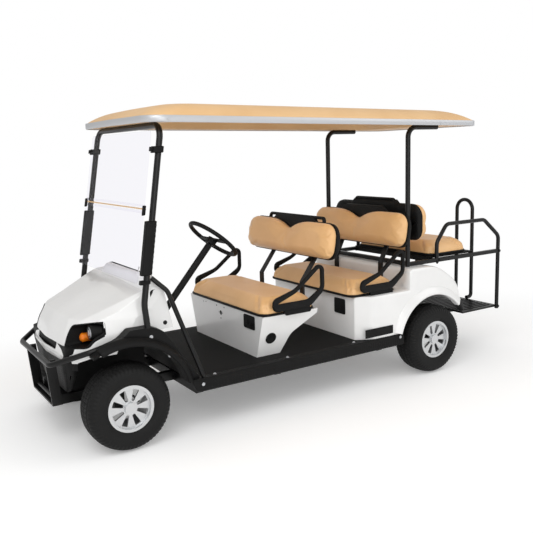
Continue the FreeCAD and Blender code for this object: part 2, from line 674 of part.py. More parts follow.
panel_in = d.fender_offset
panel_out = d.fender_offset + d.panel_thickness
lip_out = d.fender_offset + d.lip_width
cover_in = d.cowl_half_width + d.seat_gap
arch_outer = d.arch_radius + d.lip_depth
arch_void = cylinder(d.arch_radius, V(fx, 0, d.tyre_radius),
                     V(fx, lip_out + d.cut_overrun, d.tyre_radius))
fender_side = [
    (fx + d.fender_front, d.cowl_cheek_bottom + d.lip_depth),
    (fx + d.fender_front, d.fender_top - d.lip_depth),
    (fx - d.fender_shelf_front, d.fender_top), (fx - d.fender_shelf_rear, d.fender_top),
    (fx - d.fender_rear_top, d.fender_top - d.lip_depth),
    (fx - d.fender_rear_foot, d.floor_top + d.seat_gap),
    (fx - d.rocker_front, d.floor_top + d.seat_gap)]
panel = side_prism(fender_side, panel_in, panel_out)
cover = side_prism(fender_side, cover_in, panel_in).cut(
    cylinder(arch_outer, V(fx, cover_in, d.tyre_radius), V(fx, panel_in, d.tyre_radius)).cut(
        cylinder(d.arch_radius + d.cover_wall, V(fx, cover_in, d.tyre_radius),
                 V(fx, panel_in, d.tyre_radius)))).common(
    block(fx - d.fender_rear_top, fx + d.fender_front, cover_in, panel_in,
          d.cowl_cheek_bottom, d.fender_top))
ring = arch_ring(fx, d.arch_radius, arch_outer, panel_in, lip_out)
sector = side_prism([
    (fx, d.tyre_radius), (fx + d.fender_front, d.cowl_arch_top + d.cut_overrun),
    (fx - arch_outer - d.cut_overrun, d.cowl_arch_top + d.cut_overrun),
    (fx - arch_outer - d.cut_overrun, rocker_low)], panel_in, lip_out)
fender = fused([panel.cut(arch_void), cover.cut(arch_void), ring.common(sector)])
rocker_slant = d.rocker_height / 2
rocker_room = side_prism([
    (fx - d.rocker_front + d.seat_gap, d.floor_top + d.seat_gap),
    (fx - d.rocker_front - rocker_slant + d.seat_gap, rocker_low + d.seat_gap),
    (fx - d.rocker_front - rocker_slant + d.seat_gap, rocker_low - d.cut_overrun),
    (fx - d.rocker_front - d.rocker_height, rocker_low - d.cut_overrun),
    (fx - d.rocker_front - d.rocker_height, d.floor_top + d.seat_gap)],
    0, lip_out + d.cut_overrun)
board_gap = 2 * d.seat_gap / math.cos(toe_slope)
board = bar(floor_line, d.floor_thickness + board_gap, 0, d.floor_half_width + d.seat_gap)
fender = fender.cut(rocker_room).cut(board)
feature("front_fenders", pair(fender))

# Cowl braces: bent tubes from the cowl's brow to the rockers
brace_y = d.floor_half_width + d.rocker_width / 2
brace = tube([
    V(fx - d.brace_top_back, d.cowl_half_width + d.brace_radius + d.seat_gap, d.brace_top),
    V(fx - d.brace_knee_back, d.brace_knee_offset, d.brace_knee),
    V(fx - d.brace_foot_back, brace_y, d.floor_top + d.brace_radius / 2)], d.brace_radius, d.brace_bend)
brace = brace.cut(block(fx - d.brace_foot_back - d.brace_bend, fx, 0, 2 * brace_y, 0,
                        d.floor_top + d.seat_gap))
feature("cowl_braces", pair(brace))

# Front strut hoop: two leaning struts joined by a header under the roof
header_level = d.roof_bottom - d.seat_gap - d.strut_radius
header_back = d.strut_knee_back + d.strut_lean * (header_level - d.strut_knee)
left_strut = [
    V(fx - d.strut_foot_back, d.strut_offset, d.fender_top - d.strut_radius),
    V(fx - d.strut_knee_back, d.strut_offset, d.strut_knee),
    V(fx - header_back, d.strut_offset, header_level)]
hoop = left_strut + [V(p.x, -p.y, p.z) for p in reversed(left_strut)]
foot_room = block(fx - d.strut_foot_back - d.arch_radius, fx, -lip_out, lip_out, 0,
                  d.fender_top + d.seat_gap)
feature("front_struts", tube(hoop, d.strut_radius, d.header_bend).cut(foot_room))

# Rear struts: upright tubes on the rear body's deck that bend back into rails under the roof
body_top = d.rear_rail_level - d.rear_rail_height / 2 - d.seat_gap
rear_strut = tube([
    V(fx - d.rear_strut_back, d.rear_strut_offset, body_top + d.seat_gap),
    V(fx - d.rear_strut_back, d.rear_strut_offset, header_level),
    V(fx - d.rear_strut_back - d.roof_rail_length, d.rear_strut_offset, header_level)],
    d.strut_radius, d.rear_strut_bend)
feature("rear_struts", pair(rear_strut))

# Roof: a rim with a bowed front edge and a smooth crown over it, hollow below
roof_front = fx + d.roof_front_reach
roof_rear = roof_front - d.roof_length
edge_top = d.roof_bottom + d.roof_edge_height
crown_shares = ((0, 0), (0.45, 0.18), (0.84, 0.54), (1, 1))


def roof_plan(front, rear, side, level):
    """The roof's outline, moved in by these amounts from its front, rear and side edges."""
    half = d.roof_half_width - side
    corners = [
        (roof_front - front, 0), (roof_front - d.roof_front_bow - front, half),
        (roof_rear + rear, half), (roof_rear + rear, -half),
        (roof_front - d.roof_front_bow - front, -half)]
    radii = [d.roof_front_round] + [d.roof_corner - min(front, side, 0)] * 4
    return rounded_wire([V(x, y, level) for x, y in corners], radii, True)


def roof_outline(grow, low, high):
    return Part.Face(roof_plan(-grow, -grow, -grow, low)).extrude(V(0, 0, high - low))


crown = Part.makeLoft([
    roof_plan(inset_share * d.roof_brow, inset_share * d.roof_tail,
              inset_share * d.roof_side_slope, edge_top + rise_share * d.roof_crown)
    for rise_share, inset_share in crown_shares], True, False)
recess = plan_prism([
    (fx - d.roof_recess_front, d.roof_recess_half), (roof_rear + d.roof_tail, d.roof_recess_half),
    (roof_rear + d.roof_tail, -d.roof_recess_half), (fx - d.roof_recess_front, -d.roof_recess_half)],
    d.roof_bottom - d.roof_wall, edge_top + d.roof_crown, d.roof_corner)
low_recess = recess.common(block(roof_rear, roof_front, -d.roof_half_width, d.roof_half_width,
                                 d.roof_bottom - d.roof_wall, edge_top))
roof_room = fused([low_recess, recess.common(crown.translated(V(0, 0, -d.roof_wall)))])
roof = fused([roof_outline(0, d.roof_bottom, edge_top), crown]).cut(roof_room)
feature("roof_canopy", roof)
trim_low = d.roof_bottom - (d.trim_height - d.roof_edge_height)
trim = roof_outline(d.seat_gap + d.trim_thickness, trim_low, edge_top).cut(
    roof_outline(d.seat_gap, trim_low, edge_top))
feature("roof_trim", trim)


# Windshield: two clear panels on the struts' lean, with a hinge strip between them
def glass_x(level):
    return (fx - d.strut_knee_back - d.strut_lean * (level - d.strut_knee)
            + d.strut_radius + d.glass_ahead)


def glass_panel(low, high):
    return post([(glass_x(low), low), (glass_x(high), high)], d.glass_thickness,
                -d.glass_half_width, d.glass_half_width)


feature("windshield_lower", glass_panel(d.glass_bottom, d.glass_split - d.glass_joint / 2))
feature("windshield_upper", glass_panel(d.glass_split + d.glass_joint / 2, d.glass_top))
hinge_back = d.glass_thickness / 2 + d.seat_gap
hinge = post([(glass_x(d.glass_split - d.hinge_height / 2) - hinge_back - d.hinge_depth / 2,
               d.glass_split - d.hinge_height / 2),
              (glass_x(d.glass_split + d.hinge_height / 2) - hinge_back - d.hinge_depth / 2,
               d.glass_split + d.hinge_height / 2)], d.hinge_depth,
             -d.hinge_half_width, d.hinge_half_width)
feature("windshield_hinge", hinge)
strut_hole = tube(hoop, d.strut_radius + d.seat_gap, d.header_bend)


def strut_block(low, high, half, reach):
    """A block round the leaning strut that reaches forward to the glass."""
    back = [(glass_x(z) - d.strut_radius - d.glass_ahead - half, z) for z in (low, high)]
    ahead = [(glass_x(z) - reach, z) for z in (high, low)]
    return side_prism(back + ahead, d.strut_offset - half, d.strut_offset + half)


glass_back = d.glass_thickness / 2 + d.seat_gap
sleeve = strut_block(d.sleeve_low, d.sleeve_high, d.sleeve_half, glass_back)
clip = strut_block(d.clip_level, d.clip_level + d.clip_height, d.clip_half, glass_back)


def glass_tab(low, high):
    """A tab behind the glass, from its edge to the block on the strut."""
    ends = [(glass_x(z) - glass_back, z) for z in (low, high)]
    backs = [(glass_x(z) - glass_back - d.glass_ahead / 2, z) for z in (high, low)]
    return side_prism(ends + backs, d.glass_half_width - d.clip_half, d.strut_offset)


fitting = fused([sleeve, glass_tab(d.sleeve_low, d.sleeve_high)]).cut(strut_hole)
top_fitting = fused([clip, glass_tab(d.clip_level, d.clip_level + d.clip_height)]).cut(strut_hole)
feature("windshield_fittings", Part.makeCompound([
    fitting, mirrored(fitting), top_fitting, mirrored(top_fitting)]))

# Steering: column, boot and wheel on one leaning axis
pitch = math.radians(d.column_pitch)
column_axis = V(-math.cos(pitch), 0, math.sin(pitch))
hub = V(fx - d.wheel_hub_back, d.wheel_hub_offset, d.wheel_hub_level)
column_top = hub - column_axis * (d.wheel_hub_height + d.wheel_clearance)
column_foot = hub - column_axis * d.column_length
boot_top = column_foot + column_axis * d.boot_length
boot = Part.makeCone(d.boot_radius, d.boot_tip_radius, d.boot_length, column_foot, column_axis)
column = fused([cylinder(d.column_radius, column_foot, column_top), boot])
column = column.cut(cylinder(d.shaft_radius + d.pin_clearance, column_top - column_axis
                             * d.wheel_hub_height, column_top + column_axis * d.cut_overrun))
board_room = side_prism([
    toe_point(-d.floor_thickness, 0), toe_point(d.column_length, 0),
    toe_point(d.column_length, -d.column_length), toe_point(-d.floor_thickness, -d.column_length)],
    d.wheel_hub_offset - d.boot_radius, d.wheel_hub_offset + d.boot_radius)
feature("steering_column", column.cut(board_room))
ring = Part.makeTorus(d.wheel_radius, d.wheel_grip_radius, hub, column_axis)
hub_shape = cylinder(d.wheel_hub_radius, hub - column_axis * d.wheel_hub_height, hub)
shaft = cylinder(d.shaft_radius, column_top - column_axis * d.wheel_hub_height / 2, hub)
spoke = block(-d.wheel_radius, d.wheel_radius, -d.wheel_spoke_width / 2, d.wheel_spoke_width / 2,
              -d.wheel_spoke_thickness, 0)
spoke.Placement = FreeCAD.Placement(hub, FreeCAD.Rotation(V(0, 0, 1), column_axis).multiply(
    FreeCAD.Rotation(V(0, 0, 1), 90)))
feature("steering_wheel", fused([ring, hub_shape, shaft, spoke]))

# Dash behind the cowl
dash_line = [(fx - d.cowl_rim_back + d.dash_thickness, d.cowl_rim_level - d.cowl_wall * 2),
             (fx - d.cowl_brow_back + d.dash_thickness, d.cowl_brow_level),
             (fx - d.cowl_side_back + d.dash_thickness + d.dash_thickness, d.dash_bottom)]
dash_half = d.cowl_half_width - d.cowl_wall - d.seat_gap
feature("dash_panel", post(dash_line, d.dash_thickness, -dash_half, dash_half))


# Pedals: two pads on arms that stand on the toe board
def pedal(offset):
    pad = side_prism([
        toe_point(d.pedal_foot, d.pedal_height), toe_point(d.pedal_foot + d.pedal_length,
                                                           d.pedal_height),
        toe_point(d.pedal_foot + d.pedal_length, d.pedal_height + d.pedal_thickness),
        toe_point(d.pedal_foot, d.pedal_height + d.pedal_thickness)],
        offset - d.pedal_width / 2, offset + d.pedal_width / 2)
    middle = d.pedal_foot + d.pedal_length / 2
    arm = side_prism([
        toe_point(middle - d.pedal_arm, 0), toe_point(middle + d.pedal_arm, 0),
        toe_point(middle + d.pedal_arm / 2, d.pedal_height),
        toe_point(middle - d.pedal_arm / 2, d.pedal_height)],
        offset - d.pedal_arm / 2, offset + d.pedal_arm / 2)
    return fused([pad, arm])


# Front seat pod: a hollow box with sloping sides and an undercut rear, open at the top
def pod_form(inset):
    side = side_prism([
        (fx - d.pod_front - inset, d.floor_top + d.seat_gap), (fx - d.pod_front - inset, d.pod_top),
        (fx - d.pod_rear + inset, d.pod_top), (fx - d.pod_rear + inset, d.pod_top - d.pod_rear_lip),
        (fx - d.pod_waist_back + inset, d.pod_waist_level),
        (fx - d.pod_foot_rear + inset, d.floor_top + d.seat_gap)],
        -d.pod_half_top, d.pod_half_top, [0, 0, 0, 0, d.pod_waist_bend, 0])
    front = front_prism([
        (-d.pod_half_foot + inset, d.floor_top + d.seat_gap),
        (d.pod_half_foot - inset, d.floor_top + d.seat_gap),
        (d.pod_half_top - inset, d.pod_top), (-d.pod_half_top + inset, d.pod_top)],
        fx - d.pod_rear, fx - d.pod_front)
    return side.common(front)


pod_room = pod_form(d.pod_wall)
pod_room = fused([pod_room, pod_room.translated(V(0, 0, d.cut_overrun))]).common(
    block(fx - d.pod_rear, fx - d.pod_front, -d.pod_half_top, d.pod_half_top,
          d.pod_hollow_floor, d.pod_top + d.cut_overrun))
feature("front_seat_pod", pod_form(0).cut(pod_room))


# Seat cushions: lids over the pods
def cushion(name, front, seat):
    """A block with a softly rounded top and a sharper foot on its base board."""
    solid = block(fx - front - d.cushion_depth, fx - front, -d.cushion_half_width,
                  d.cushion_half_width, seat, seat + d.cushion_height)
    rest = [edge for edge in solid.Edges if edge.BoundBox.ZMax > seat + d.cushion_round]
    solid = solid.makeFillet(d.cushion_round, rest)
    return feature(name, solid)


cushion("front_seat_cushion", d.front_cushion_front, d.pod_top + d.seat_gap)


# Seat backs: a padded block and its shell, both leaning back
def lean(shape, setback, rise):
    shape = shape.copy()
    turned = FreeCAD.Placement(V(0, 0, 0), FreeCAD.Rotation(V(0, 1, 0),
                               -math.degrees(math.atan(d.back_lean))),
                               V(fx - d.back_face, 0, d.back_bottom))
    shape.Placement = FreeCAD.Placement(V(-setback, 0, rise), FreeCAD.Rotation()).multiply(turned)
    return shape


def seat_back(name, setback, rise):
    solid = soft_block(fx - d.back_face - d.back_thickness, fx - d.back_face, d.back_half_width,
                       d.back_bottom, d.back_top, d.back_round)
    return feature(name, lean(solid, setback, rise))


def back_shell(setback, rise):
    rear = fx - d.back_face - d.back_thickness - d.seat_gap
    half = d.shell_half_width
    solid = front_prism([
        (-half, d.back_bottom + d.back_round), (half, d.back_bottom + d.back_round),
        (half, d.back_top), (half - d.back_round, d.back_top + d.shell_rise),
        (-half + d.back_round, d.back_top + d.shell_rise), (-half, d.back_top)],
        rear - d.shell_thickness, rear)
    return lean(solid, setback, rise)


seat_back("front_seat_back", 0, 0)
seat_back("middle_seat_back", d.mid_back_setback, d.mid_back_rise)


# Seat back supports: flat bars that stand behind the cushion and lean behind the shell
slant = math.sqrt(1 + d.back_lean ** 2)
support_depth = slant * d.support_thickness
support_low = d.support_offset - d.support_width / 2
support_high = d.support_offset + d.support_width / 2


def support_line(setback, rise, foot_back, foot, knee):
    """The middle line of a support, from its foot up behind the shell."""
    behind = d.back_face + setback + slant * (d.back_thickness + d.shell_thickness + 2 * d.seat_gap)
    shell_back = fx - behind - support_depth / 2
    lean_top = d.back_lean * (d.support_top - d.back_bottom)
    return [(fx - foot_back, foot), (fx - foot_back, knee),
            (shell_back, d.back_bottom + rise),
            (shell_back - lean_top, d.support_top + rise)]


feature("front_back_shell", back_shell(0, 0))
feature("middle_back_shell", back_shell(d.mid_back_setback, d.mid_back_rise))
front_foot = d.pod_top - d.pod_rear_lip
front_support = fused([
    post(support_line(0, 0, d.support_foot_back, front_foot, d.support_knee), support_depth,
         support_low, support_high),
    block(fx - d.support_foot_back, fx - d.pod_rear - d.seat_gap, support_low, support_high,
          front_foot, d.pod_top)])
feature("front_back_supports", pair(front_support))
mid_line = support_line(d.mid_back_setback, d.mid_back_rise, d.mid_support_foot_back,
                        d.body_seat_top + d.seat_gap, d.mid_support_knee)
mid_support = post(mid_line, support_depth, support_low, support_high)
shell_face = rx - d.rear_back_front + d.seat_gap
mid_arms = [block(shell_face, mid_line[2][0] - d.back_lean * (level - mid_line[2][1]),
                  support_low, support_high, level, level + d.support_thickness)
            for level in (d.rear_back_bottom + d.back_round + d.support_thickness,
                          d.support_top - d.support_thickness)]
feature("middle_back_supports", pair(fused([mid_support] + mid_arms)))
cushion("middle_seat_cushion", d.mid_cushion_front, d.body_seat_top + d.seat_gap)


# Hip restraints: closed loops beside the seats
def restraint(front, rear, rise):
    inner_y = d.cushion_half_width + d.restraint_gap
    outer_loop = [
        (fx - front, d.restraint_low + rise - d.restraint_band / 2),
        (fx - front, d.restraint_low + rise + d.restraint_band),
        (fx - rear + d.restraint_band, d.restraint_high + rise),
        (fx - rear, d.restraint_high + rise),
        (fx - rear, d.restraint_low + rise + d.restraint_band / 2)]
    band = d.restraint_band
    room = [
        (fx - front - 4 * band, d.restraint_low + rise + band),
        (fx - rear + band, d.restraint_high + rise - 2 * band),
        (fx - rear + band, d.restraint_low + rise + 2 * band)]
    solid = side_prism(outer_loop, inner_y, inner_y + d.restraint_thickness)
    solid = solid.cut(side_prism(room, inner_y, inner_y + d.restraint_thickness))
    return solid


def restraint_foot(front, rear, rise, low):
    """What joins a loop's low bar to the pod or body below."""
    inner_y = d.cushion_half_width + d.restraint_gap
    band = d.restraint_band
    return block(fx - rear + band, fx - front - 2 * band, inner_y,
                 inner_y + d.restraint_thickness, low, d.restraint_low + rise + band / 2)


mid_shift = d.mid_cushion_front - d.front_cushion_front
mid_rise = d.body_seat_top - d.pod_top
tab_low = d.pod_top - d.restraint_tab - d.lid_gap
tab_high = tab_low + d.restraint_tab


def pod_side(level):
    """How far out the pod's slanted side is at this height."""
    foot = d.floor_top + d.seat_gap
    rise = (level - foot) / (d.pod_top - foot)
    return d.pod_half_foot + rise * (d.pod_half_top - d.pod_half_foot)


loop_in = d.cushion_half_width + d.restraint_gap
front_tab = front_prism([
    (pod_side(tab_low) + d.seat_gap, tab_low), (loop_in, tab_low), (loop_in, tab_high),
    (pod_side(tab_high) + d.seat_gap, tab_high)],
    fx - d.restraint_rear + d.restraint_band, fx - d.restraint_front - 2 * d.restraint_band)
front_loop = fused([
    restraint(d.restraint_front, d.restraint_rear, 0), front_tab,
    restraint_foot(d.restraint_front, d.restraint_rear, 0, tab_low)])
mid_front = d.restraint_front + mid_shift
mid_rear = d.restraint_rear + mid_shift
mid_loop = fused([
    restraint(mid_front, mid_rear, mid_rise),
    restraint_foot(mid_front, mid_rear, mid_rise, d.body_seat_top + d.seat_gap)])
feature("hip_restraints", Part.makeCompound([
    front_loop, mirrored(front_loop), mid_loop, mirrored(mid_loop)]))

# Rear body: side outline through a plan outline, hollow, open at the top and below
body_front = rx + d.body_front

def body_side(inset):
    return [
        (body_front - inset, d.floor_top + d.seat_gap),
        (body_front - inset, d.body_seat_top),
        (rx + d.body_seat_rear - d.body_wall + inset, d.body_seat_top),
        (rx + d.body_seat_rear - d.body_wall + inset, body_top - inset),
        (rx - d.body_deck_rear, body_top - inset),
        (rx - d.body_tail_mid + inset, d.body_tail_mid_level - inset / 2),
        (rx - d.body_tail_end + inset, d.body_tail_low),
        (rx, d.body_tail_low), (rx, d.floor_top + d.seat_gap)]


def body_plan(inset):
    half = d.body_half_width - inset
    front_half = d.body_front_half - inset
    left = [(body_front, front_half), (rx + d.body_seat_rear + d.arch_rear_radius, half),
            (rx - d.body_tail_end - d.cut_overrun, half)]
    return left + [(x, -y) for x, y in reversed(left)]


def body_form(inset):
    return side_prism(body_side(inset), -d.body_half_width, d.body_half_width).common(
        plan_prism(body_plan(inset), 0, body_top + d.cut_overrun))


arch_tool = cylinder(d.arch_rear_radius, V(rx, -d.body_half_width - d.rear_lip_width
                                           - d.cut_overrun, d.tyre_radius),
                     V(rx, d.body_half_width + d.rear_lip_width + d.cut_overrun, d.tyre_radius))
shell = body_form(0)
room = body_form(d.body_wall)
room_top = block(rx + d.body_seat_rear + d.body_ledge, body_front - d.body_wall,
                 -d.body_front_half + d.body_wall, d.body_front_half - d.body_wall,
                 d.pod_hollow_floor, d.body_seat_top + d.cut_overrun)
room_low = room.translated(V(0, 0, -d.cut_overrun))
lip_low = V(rx, d.body_half_width - d.body_wall, d.tyre_radius)
lip_high = V(rx, d.body_half_width + d.rear_lip_width, d.tyre_radius)
lip = cylinder(d.arch_rear_radius + d.rear_lip, lip_low, lip_high).common(
    block(rx - 2 * d.arch_rear_radius, rx + 2 * d.arch_rear_radius, 0,
          d.body_half_width + d.rear_lip_width, d.body_tail_low, body_top))
front_lip = cylinder(d.arch_rear_radius + d.rear_lip, lip_low, lip_high).common(
    block(rx, rx + 2 * d.arch_rear_radius, 0,
          d.body_half_width + d.rear_lip_width, d.floor_top + d.seat_gap, body_top))
lip = fused([lip, front_lip])
body_solid = fused([shell.cut(room).cut(room_low).cut(room_top), lip, mirrored(lip)])
body_solid = body_solid.cut(arch_tool)
feature("rear_body", body_solid)

# Tail lamps on the rear corners
tail_z = d.body_tail_mid_level - d.cut_overrun
tail_run = (d.body_tail_end - d.body_tail_mid) / (d.body_tail_mid_level - d.body_tail_low)


def tail_x(level):
    return rx - d.body_tail_mid - d.seat_gap - tail_run * (d.body_tail_mid_level - level)


tail_lamp = side_prism([
    (tail_x(tail_z), tail_z), (tail_x(tail_z - d.tail_lamp_height), tail_z - d.tail_lamp_height),
    (tail_x(tail_z - d.tail_lamp_height) - d.tail_lamp_depth, tail_z - d.tail_lamp_height),
    (tail_x(tail_z) - d.tail_lamp_depth, tail_z)],
    d.body_half_width - 2 * d.tail_lamp_width, d.body_half_width - d.tail_lamp_width)
feature("tail_lamps", pair(tail_lamp))

# Rear seat frame: an arm of bent tube and a rail on each side, with cross tubes between
post_x = rx - d.post_back
rail_z = d.rear_rail_level
arm = tube([
    V(post_x, d.arm_offset, d.post_foot), V(post_x, d.arm_offset, d.post_knee),
    V(post_x + d.arm_shoulder, d.arm_offset, d.arm_top),
    V(rx - d.arm_front_back, d.arm_offset, d.arm_top),
    V(rx - d.arm_front_foot, d.arm_offset, (d.arm_top + rail_z) / 2),
    V(rx - d.arm_front_foot, d.arm_offset, rail_z)], d.arm_radius,
    [0, d.arm_bend, d.arm_bend, d.arm_bend, d.arm_bend, 0])
rail_half = d.rear_rail_height / 2
side_rail = block(post_x, rx - d.rear_rail_front, d.arm_offset - rail_half,
                  d.arm_offset + rail_half, rail_z - rail_half, rail_z + rail_half)


def cross_tube(x):
    return block(x - rail_half, x + rail_half, -d.arm_offset, d.arm_offset,
                 rail_z - rail_half, rail_z + rail_half)


pivot_x = rx - d.flip_pivot_back
feature("rear_seat_frame", fused([
    arm, mirrored(arm), side_rail, mirrored(side_rail),
    cross_tube(rx - d.deck_front - rail_half), cross_tube(rx - d.rear_rail_front - rail_half)]))

# Rear seat deck, which lifts on pins near its rear edge, and the cushion on it
deck_half = d.arm_offset - rail_half - d.deck_gap
deck_low = rail_z + rail_half + d.seat_gap
deck = block(pivot_x - d.flip_pin_radius, rx - d.deck_front, -deck_half, deck_half, deck_low,
             deck_low + d.deck_plate)
ears = []
for side in (1, -1):
    ears.append(block(pivot_x - d.flip_ear / 2, pivot_x + d.flip_ear / 2,
                      min(side * deck_half, side * (deck_half - d.deck_plate)),
                      max(side * deck_half, side * (deck_half - d.deck_plate)),
                      rail_z - rail_half, deck_low + d.deck_plate))
    ears.append(cylinder(d.flip_pin_radius, V(pivot_x, side * deck_half, rail_z),
                         V(pivot_x, side * (d.arm_offset - rail_half - d.seat_gap), rail_z)))
feature("rear_seat_deck", fused([deck] + ears))
cushion_low = deck_low + d.deck_plate + d.seat_gap
feature("rear_seat_cushion", soft_block(
    rx - d.rear_cushion_rear, rx - d.rear_cushion_front, d.rear_cushion_half, cushion_low,
    cushion_low + d.rear_cushion_height, d.rear_cushion_round))


# Rear seat back: faces the rear, with its shell against the middle seat's supports
shell_x = rx - d.rear_back_front
rear_shell = block(shell_x - d.shell_thickness, shell_x,
                   -d.rear_back_half + d.back_round, d.rear_back_half - d.back_round,
                   d.rear_back_bottom + d.back_round, d.rear_back_top)
pad_x = shell_x - d.shell_thickness - d.seat_gap
feature("rear_back_shell", rear_shell)
feature("rear_seat_back", soft_block(
    pad_x - d.rear_back_thickness, pad_x, d.rear_back_half, d.rear_back_bottom,
    d.rear_back_top, d.back_round))

# Foot plate and the grab loop behind it
plate_half = d.arm_offset - d.arm_radius - d.seat_gap
plate_back = rx - d.post_back - d.arm_radius
foot_plate = block(plate_back, rx - d.plate_front, -plate_half, plate_half,
                   d.plate_top - d.plate_thickness, d.plate_top)
ribs = []
rib_count = int((2 * plate_half - d.plate_rib_pitch) / d.plate_rib_pitch)
for index in range(rib_count):
    y = (index - (rib_count - 1) / 2) * d.plate_rib_pitch
    ribs.append(block(plate_back + d.plate_rib_pitch, rx - d.plate_front - d.plate_rib_width,
                      y - d.plate_rib_width / 2, y + d.plate_rib_width / 2, d.plate_top,
                      d.plate_top + d.plate_rib_height))
feature("foot_plate", fused([foot_plate] + ribs))
loop_x = rx - d.rear_overhang + d.loop_radius
loop_low = d.plate_top + d.plate_rib_height + d.seat_gap + d.loop_radius
legs = []
for side in (1, -1):
    legs.append([V(plate_back + d.plate_rib_pitch / 2, d.loop_offset + side * d.loop_half,
                   d.plate_top + d.seat_gap + d.loop_radius),
                 V(loop_x, d.loop_offset + side * d.loop_half,
                   d.plate_top + d.seat_gap + d.loop_radius),
                 V(loop_x, d.loop_offset + side * d.loop_half, d.loop_top - d.loop_radius)])
loop = tube(legs[0] + list(reversed(legs[1])), d.loop_radius,
            [0, d.loop_bend / 2, d.loop_half * 0.98, d.loop_half * 0.98, d.loop_bend / 2, 0])
feature("grab_loop", loop)

pedal_parts = [pedal(d.pedal_offset), pedal(d.pedal_offset + d.pedal_width + d.pedal_spread)]
feature("pedals", Part.makeCompound(pedal_parts))

doc.recompute()
for item in NODES:
    if "Invalid" in item.State or "Error" in item.State:
        raise RuntimeError(item.Label + " failed: " + str(item.State))
    if item.Shape.isNull() or not item.Shape.isValid():
        raise RuntimeError(item.Label + " has no valid shape")
    item.Shape.exportStep("parts/" + item.Label + ".step")
    print(item.Label, len(item.Shape.Solids), round(item.Shape.Volume / 1000), "cm3",
          item.Shape.optimalBoundingBox(False, False))
box_of_all = Part.makeCompound([item.Shape for item in NODES]).optimalBoundingBox(False, False)
print(len(NODES), "nodes", box_of_all)
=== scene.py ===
# %% [markdown]
# A stretched golf cart with three benches, a full roof and a two-part windshield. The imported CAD
# model gives every rigid part its real size and place. This lesson dresses it: it lights the
# cart, gives each part its finish, and sews the soft seats that a solid block can't show.

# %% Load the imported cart
import bmesh
import bpy
import json
import math
import numpy as np
from mathutils import Matrix, Vector


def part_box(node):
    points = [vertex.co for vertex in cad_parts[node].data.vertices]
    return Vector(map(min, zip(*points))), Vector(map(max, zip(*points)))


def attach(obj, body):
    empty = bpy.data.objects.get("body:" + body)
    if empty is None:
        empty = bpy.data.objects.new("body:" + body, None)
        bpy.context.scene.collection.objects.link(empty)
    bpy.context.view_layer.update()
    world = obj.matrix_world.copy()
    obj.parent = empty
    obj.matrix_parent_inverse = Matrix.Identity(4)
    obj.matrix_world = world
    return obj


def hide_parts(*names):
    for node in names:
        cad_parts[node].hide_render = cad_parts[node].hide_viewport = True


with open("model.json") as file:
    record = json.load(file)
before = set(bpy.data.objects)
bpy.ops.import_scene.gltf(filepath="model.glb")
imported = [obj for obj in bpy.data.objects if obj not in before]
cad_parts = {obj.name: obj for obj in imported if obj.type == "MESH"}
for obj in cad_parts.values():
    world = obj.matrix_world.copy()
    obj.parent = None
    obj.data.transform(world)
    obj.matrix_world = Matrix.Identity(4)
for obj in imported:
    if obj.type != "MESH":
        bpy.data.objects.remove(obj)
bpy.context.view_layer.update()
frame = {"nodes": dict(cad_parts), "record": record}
cart = frame["nodes"]
scene = bpy.context.scene
scene.view_settings.view_transform = "Standard"

# %% [markdown]
# The picture was taken from ahead of the cart's left side, a little above the seats. A camera is
# a place, a direction and a lens. We state the direction as three unit vectors, because a camera
# looks along its own -Z with +Y up, so those vectors are the columns of its matrix.

# %% Camera
turn, tilt, roll = -2.136515656833264, -0.16665109290790964, -0.030487226512694875
eye = Vector((2.92427, 4.33016, 1.75563))
ahead = Vector((math.cos(tilt) * math.cos(turn), math.cos(tilt) * math.sin(turn), math.sin(tilt)))
level_right = ahead.cross(Vector((0, 0, 1))).normalized()
level_up = level_right.cross(ahead)
right = math.cos(roll) * level_right + math.sin(roll) * level_up
up = math.cos(roll) * level_up - math.sin(roll) * level_right
lens = bpy.data.cameras.new("camera")
lens.sensor_width, lens.lens = 36, 46.523
lens.clip_end = 60
camera = bpy.data.objects.new("camera", lens)
turned = Matrix((right, up, -ahead)).transposed().to_4x4()
camera.matrix_world = Matrix.Translation(eye) @ turned
scene.collection.objects.link(camera)
scene.camera = camera
print("camera", [round(v, 2) for v in eye], "lens", lens.lens)

# %% [markdown]
# Finishes are node trees. Small helpers keep them short: one starts a finish with its shader, one
# adds a node and sets its inputs, and the rest join a pattern to colour, roughness or bump.
# Patterns read Object coordinates in metres, so a scale of 400 means about 2.5 mm grains.

# %% Helpers for finishes
def finish(name, colour, roughness, **shader):
    """A new material whose Principled shader has this colour, roughness and other inputs."""
    paint = bpy.data.materials.new(name)
    paint.use_nodes = True
    inputs = paint.node_tree.nodes["Principled BSDF"].inputs
    inputs["Base Color"].default_value = (*colour, 1)
    inputs["Roughness"].default_value = roughness
    for key, value in shader.items():
        inputs[key.replace("_", " ")].default_value = value
    return paint


def node(paint, kind, **inputs):
    """Add a node of this kind; a named or numbered (i0) input takes a value or an output."""
    made = paint.node_tree.nodes.new("ShaderNode" + kind)
    for key, value in inputs.items():
        numbered = key[0] == "i" and key[1:].isdigit()
        socket = made.inputs[int(key[1:]) if numbered else key.replace("_", " ")]
        if isinstance(value, bpy.types.NodeSocket):
            paint.node_tree.links.new(value, socket)
        else:
            socket.default_value = value
    return made


def into(paint, output, name):
    """Join an output to the shader's named input."""
    shader = paint.node_tree.nodes["Principled BSDF"]
    paint.node_tree.links.new(output, shader.inputs[name])


def place(paint):
    """The part's own coordinates, in metres."""
    return node(paint, "TexCoord").outputs["Object"]


def noise(paint, scale, detail, **more):
    """Noise with this many waves to the metre, and this much finer noise on top."""
    return node(paint, "TexNoise", Vector=place(paint), Scale=scale, Detail=detail,
                **more).outputs["Fac"]


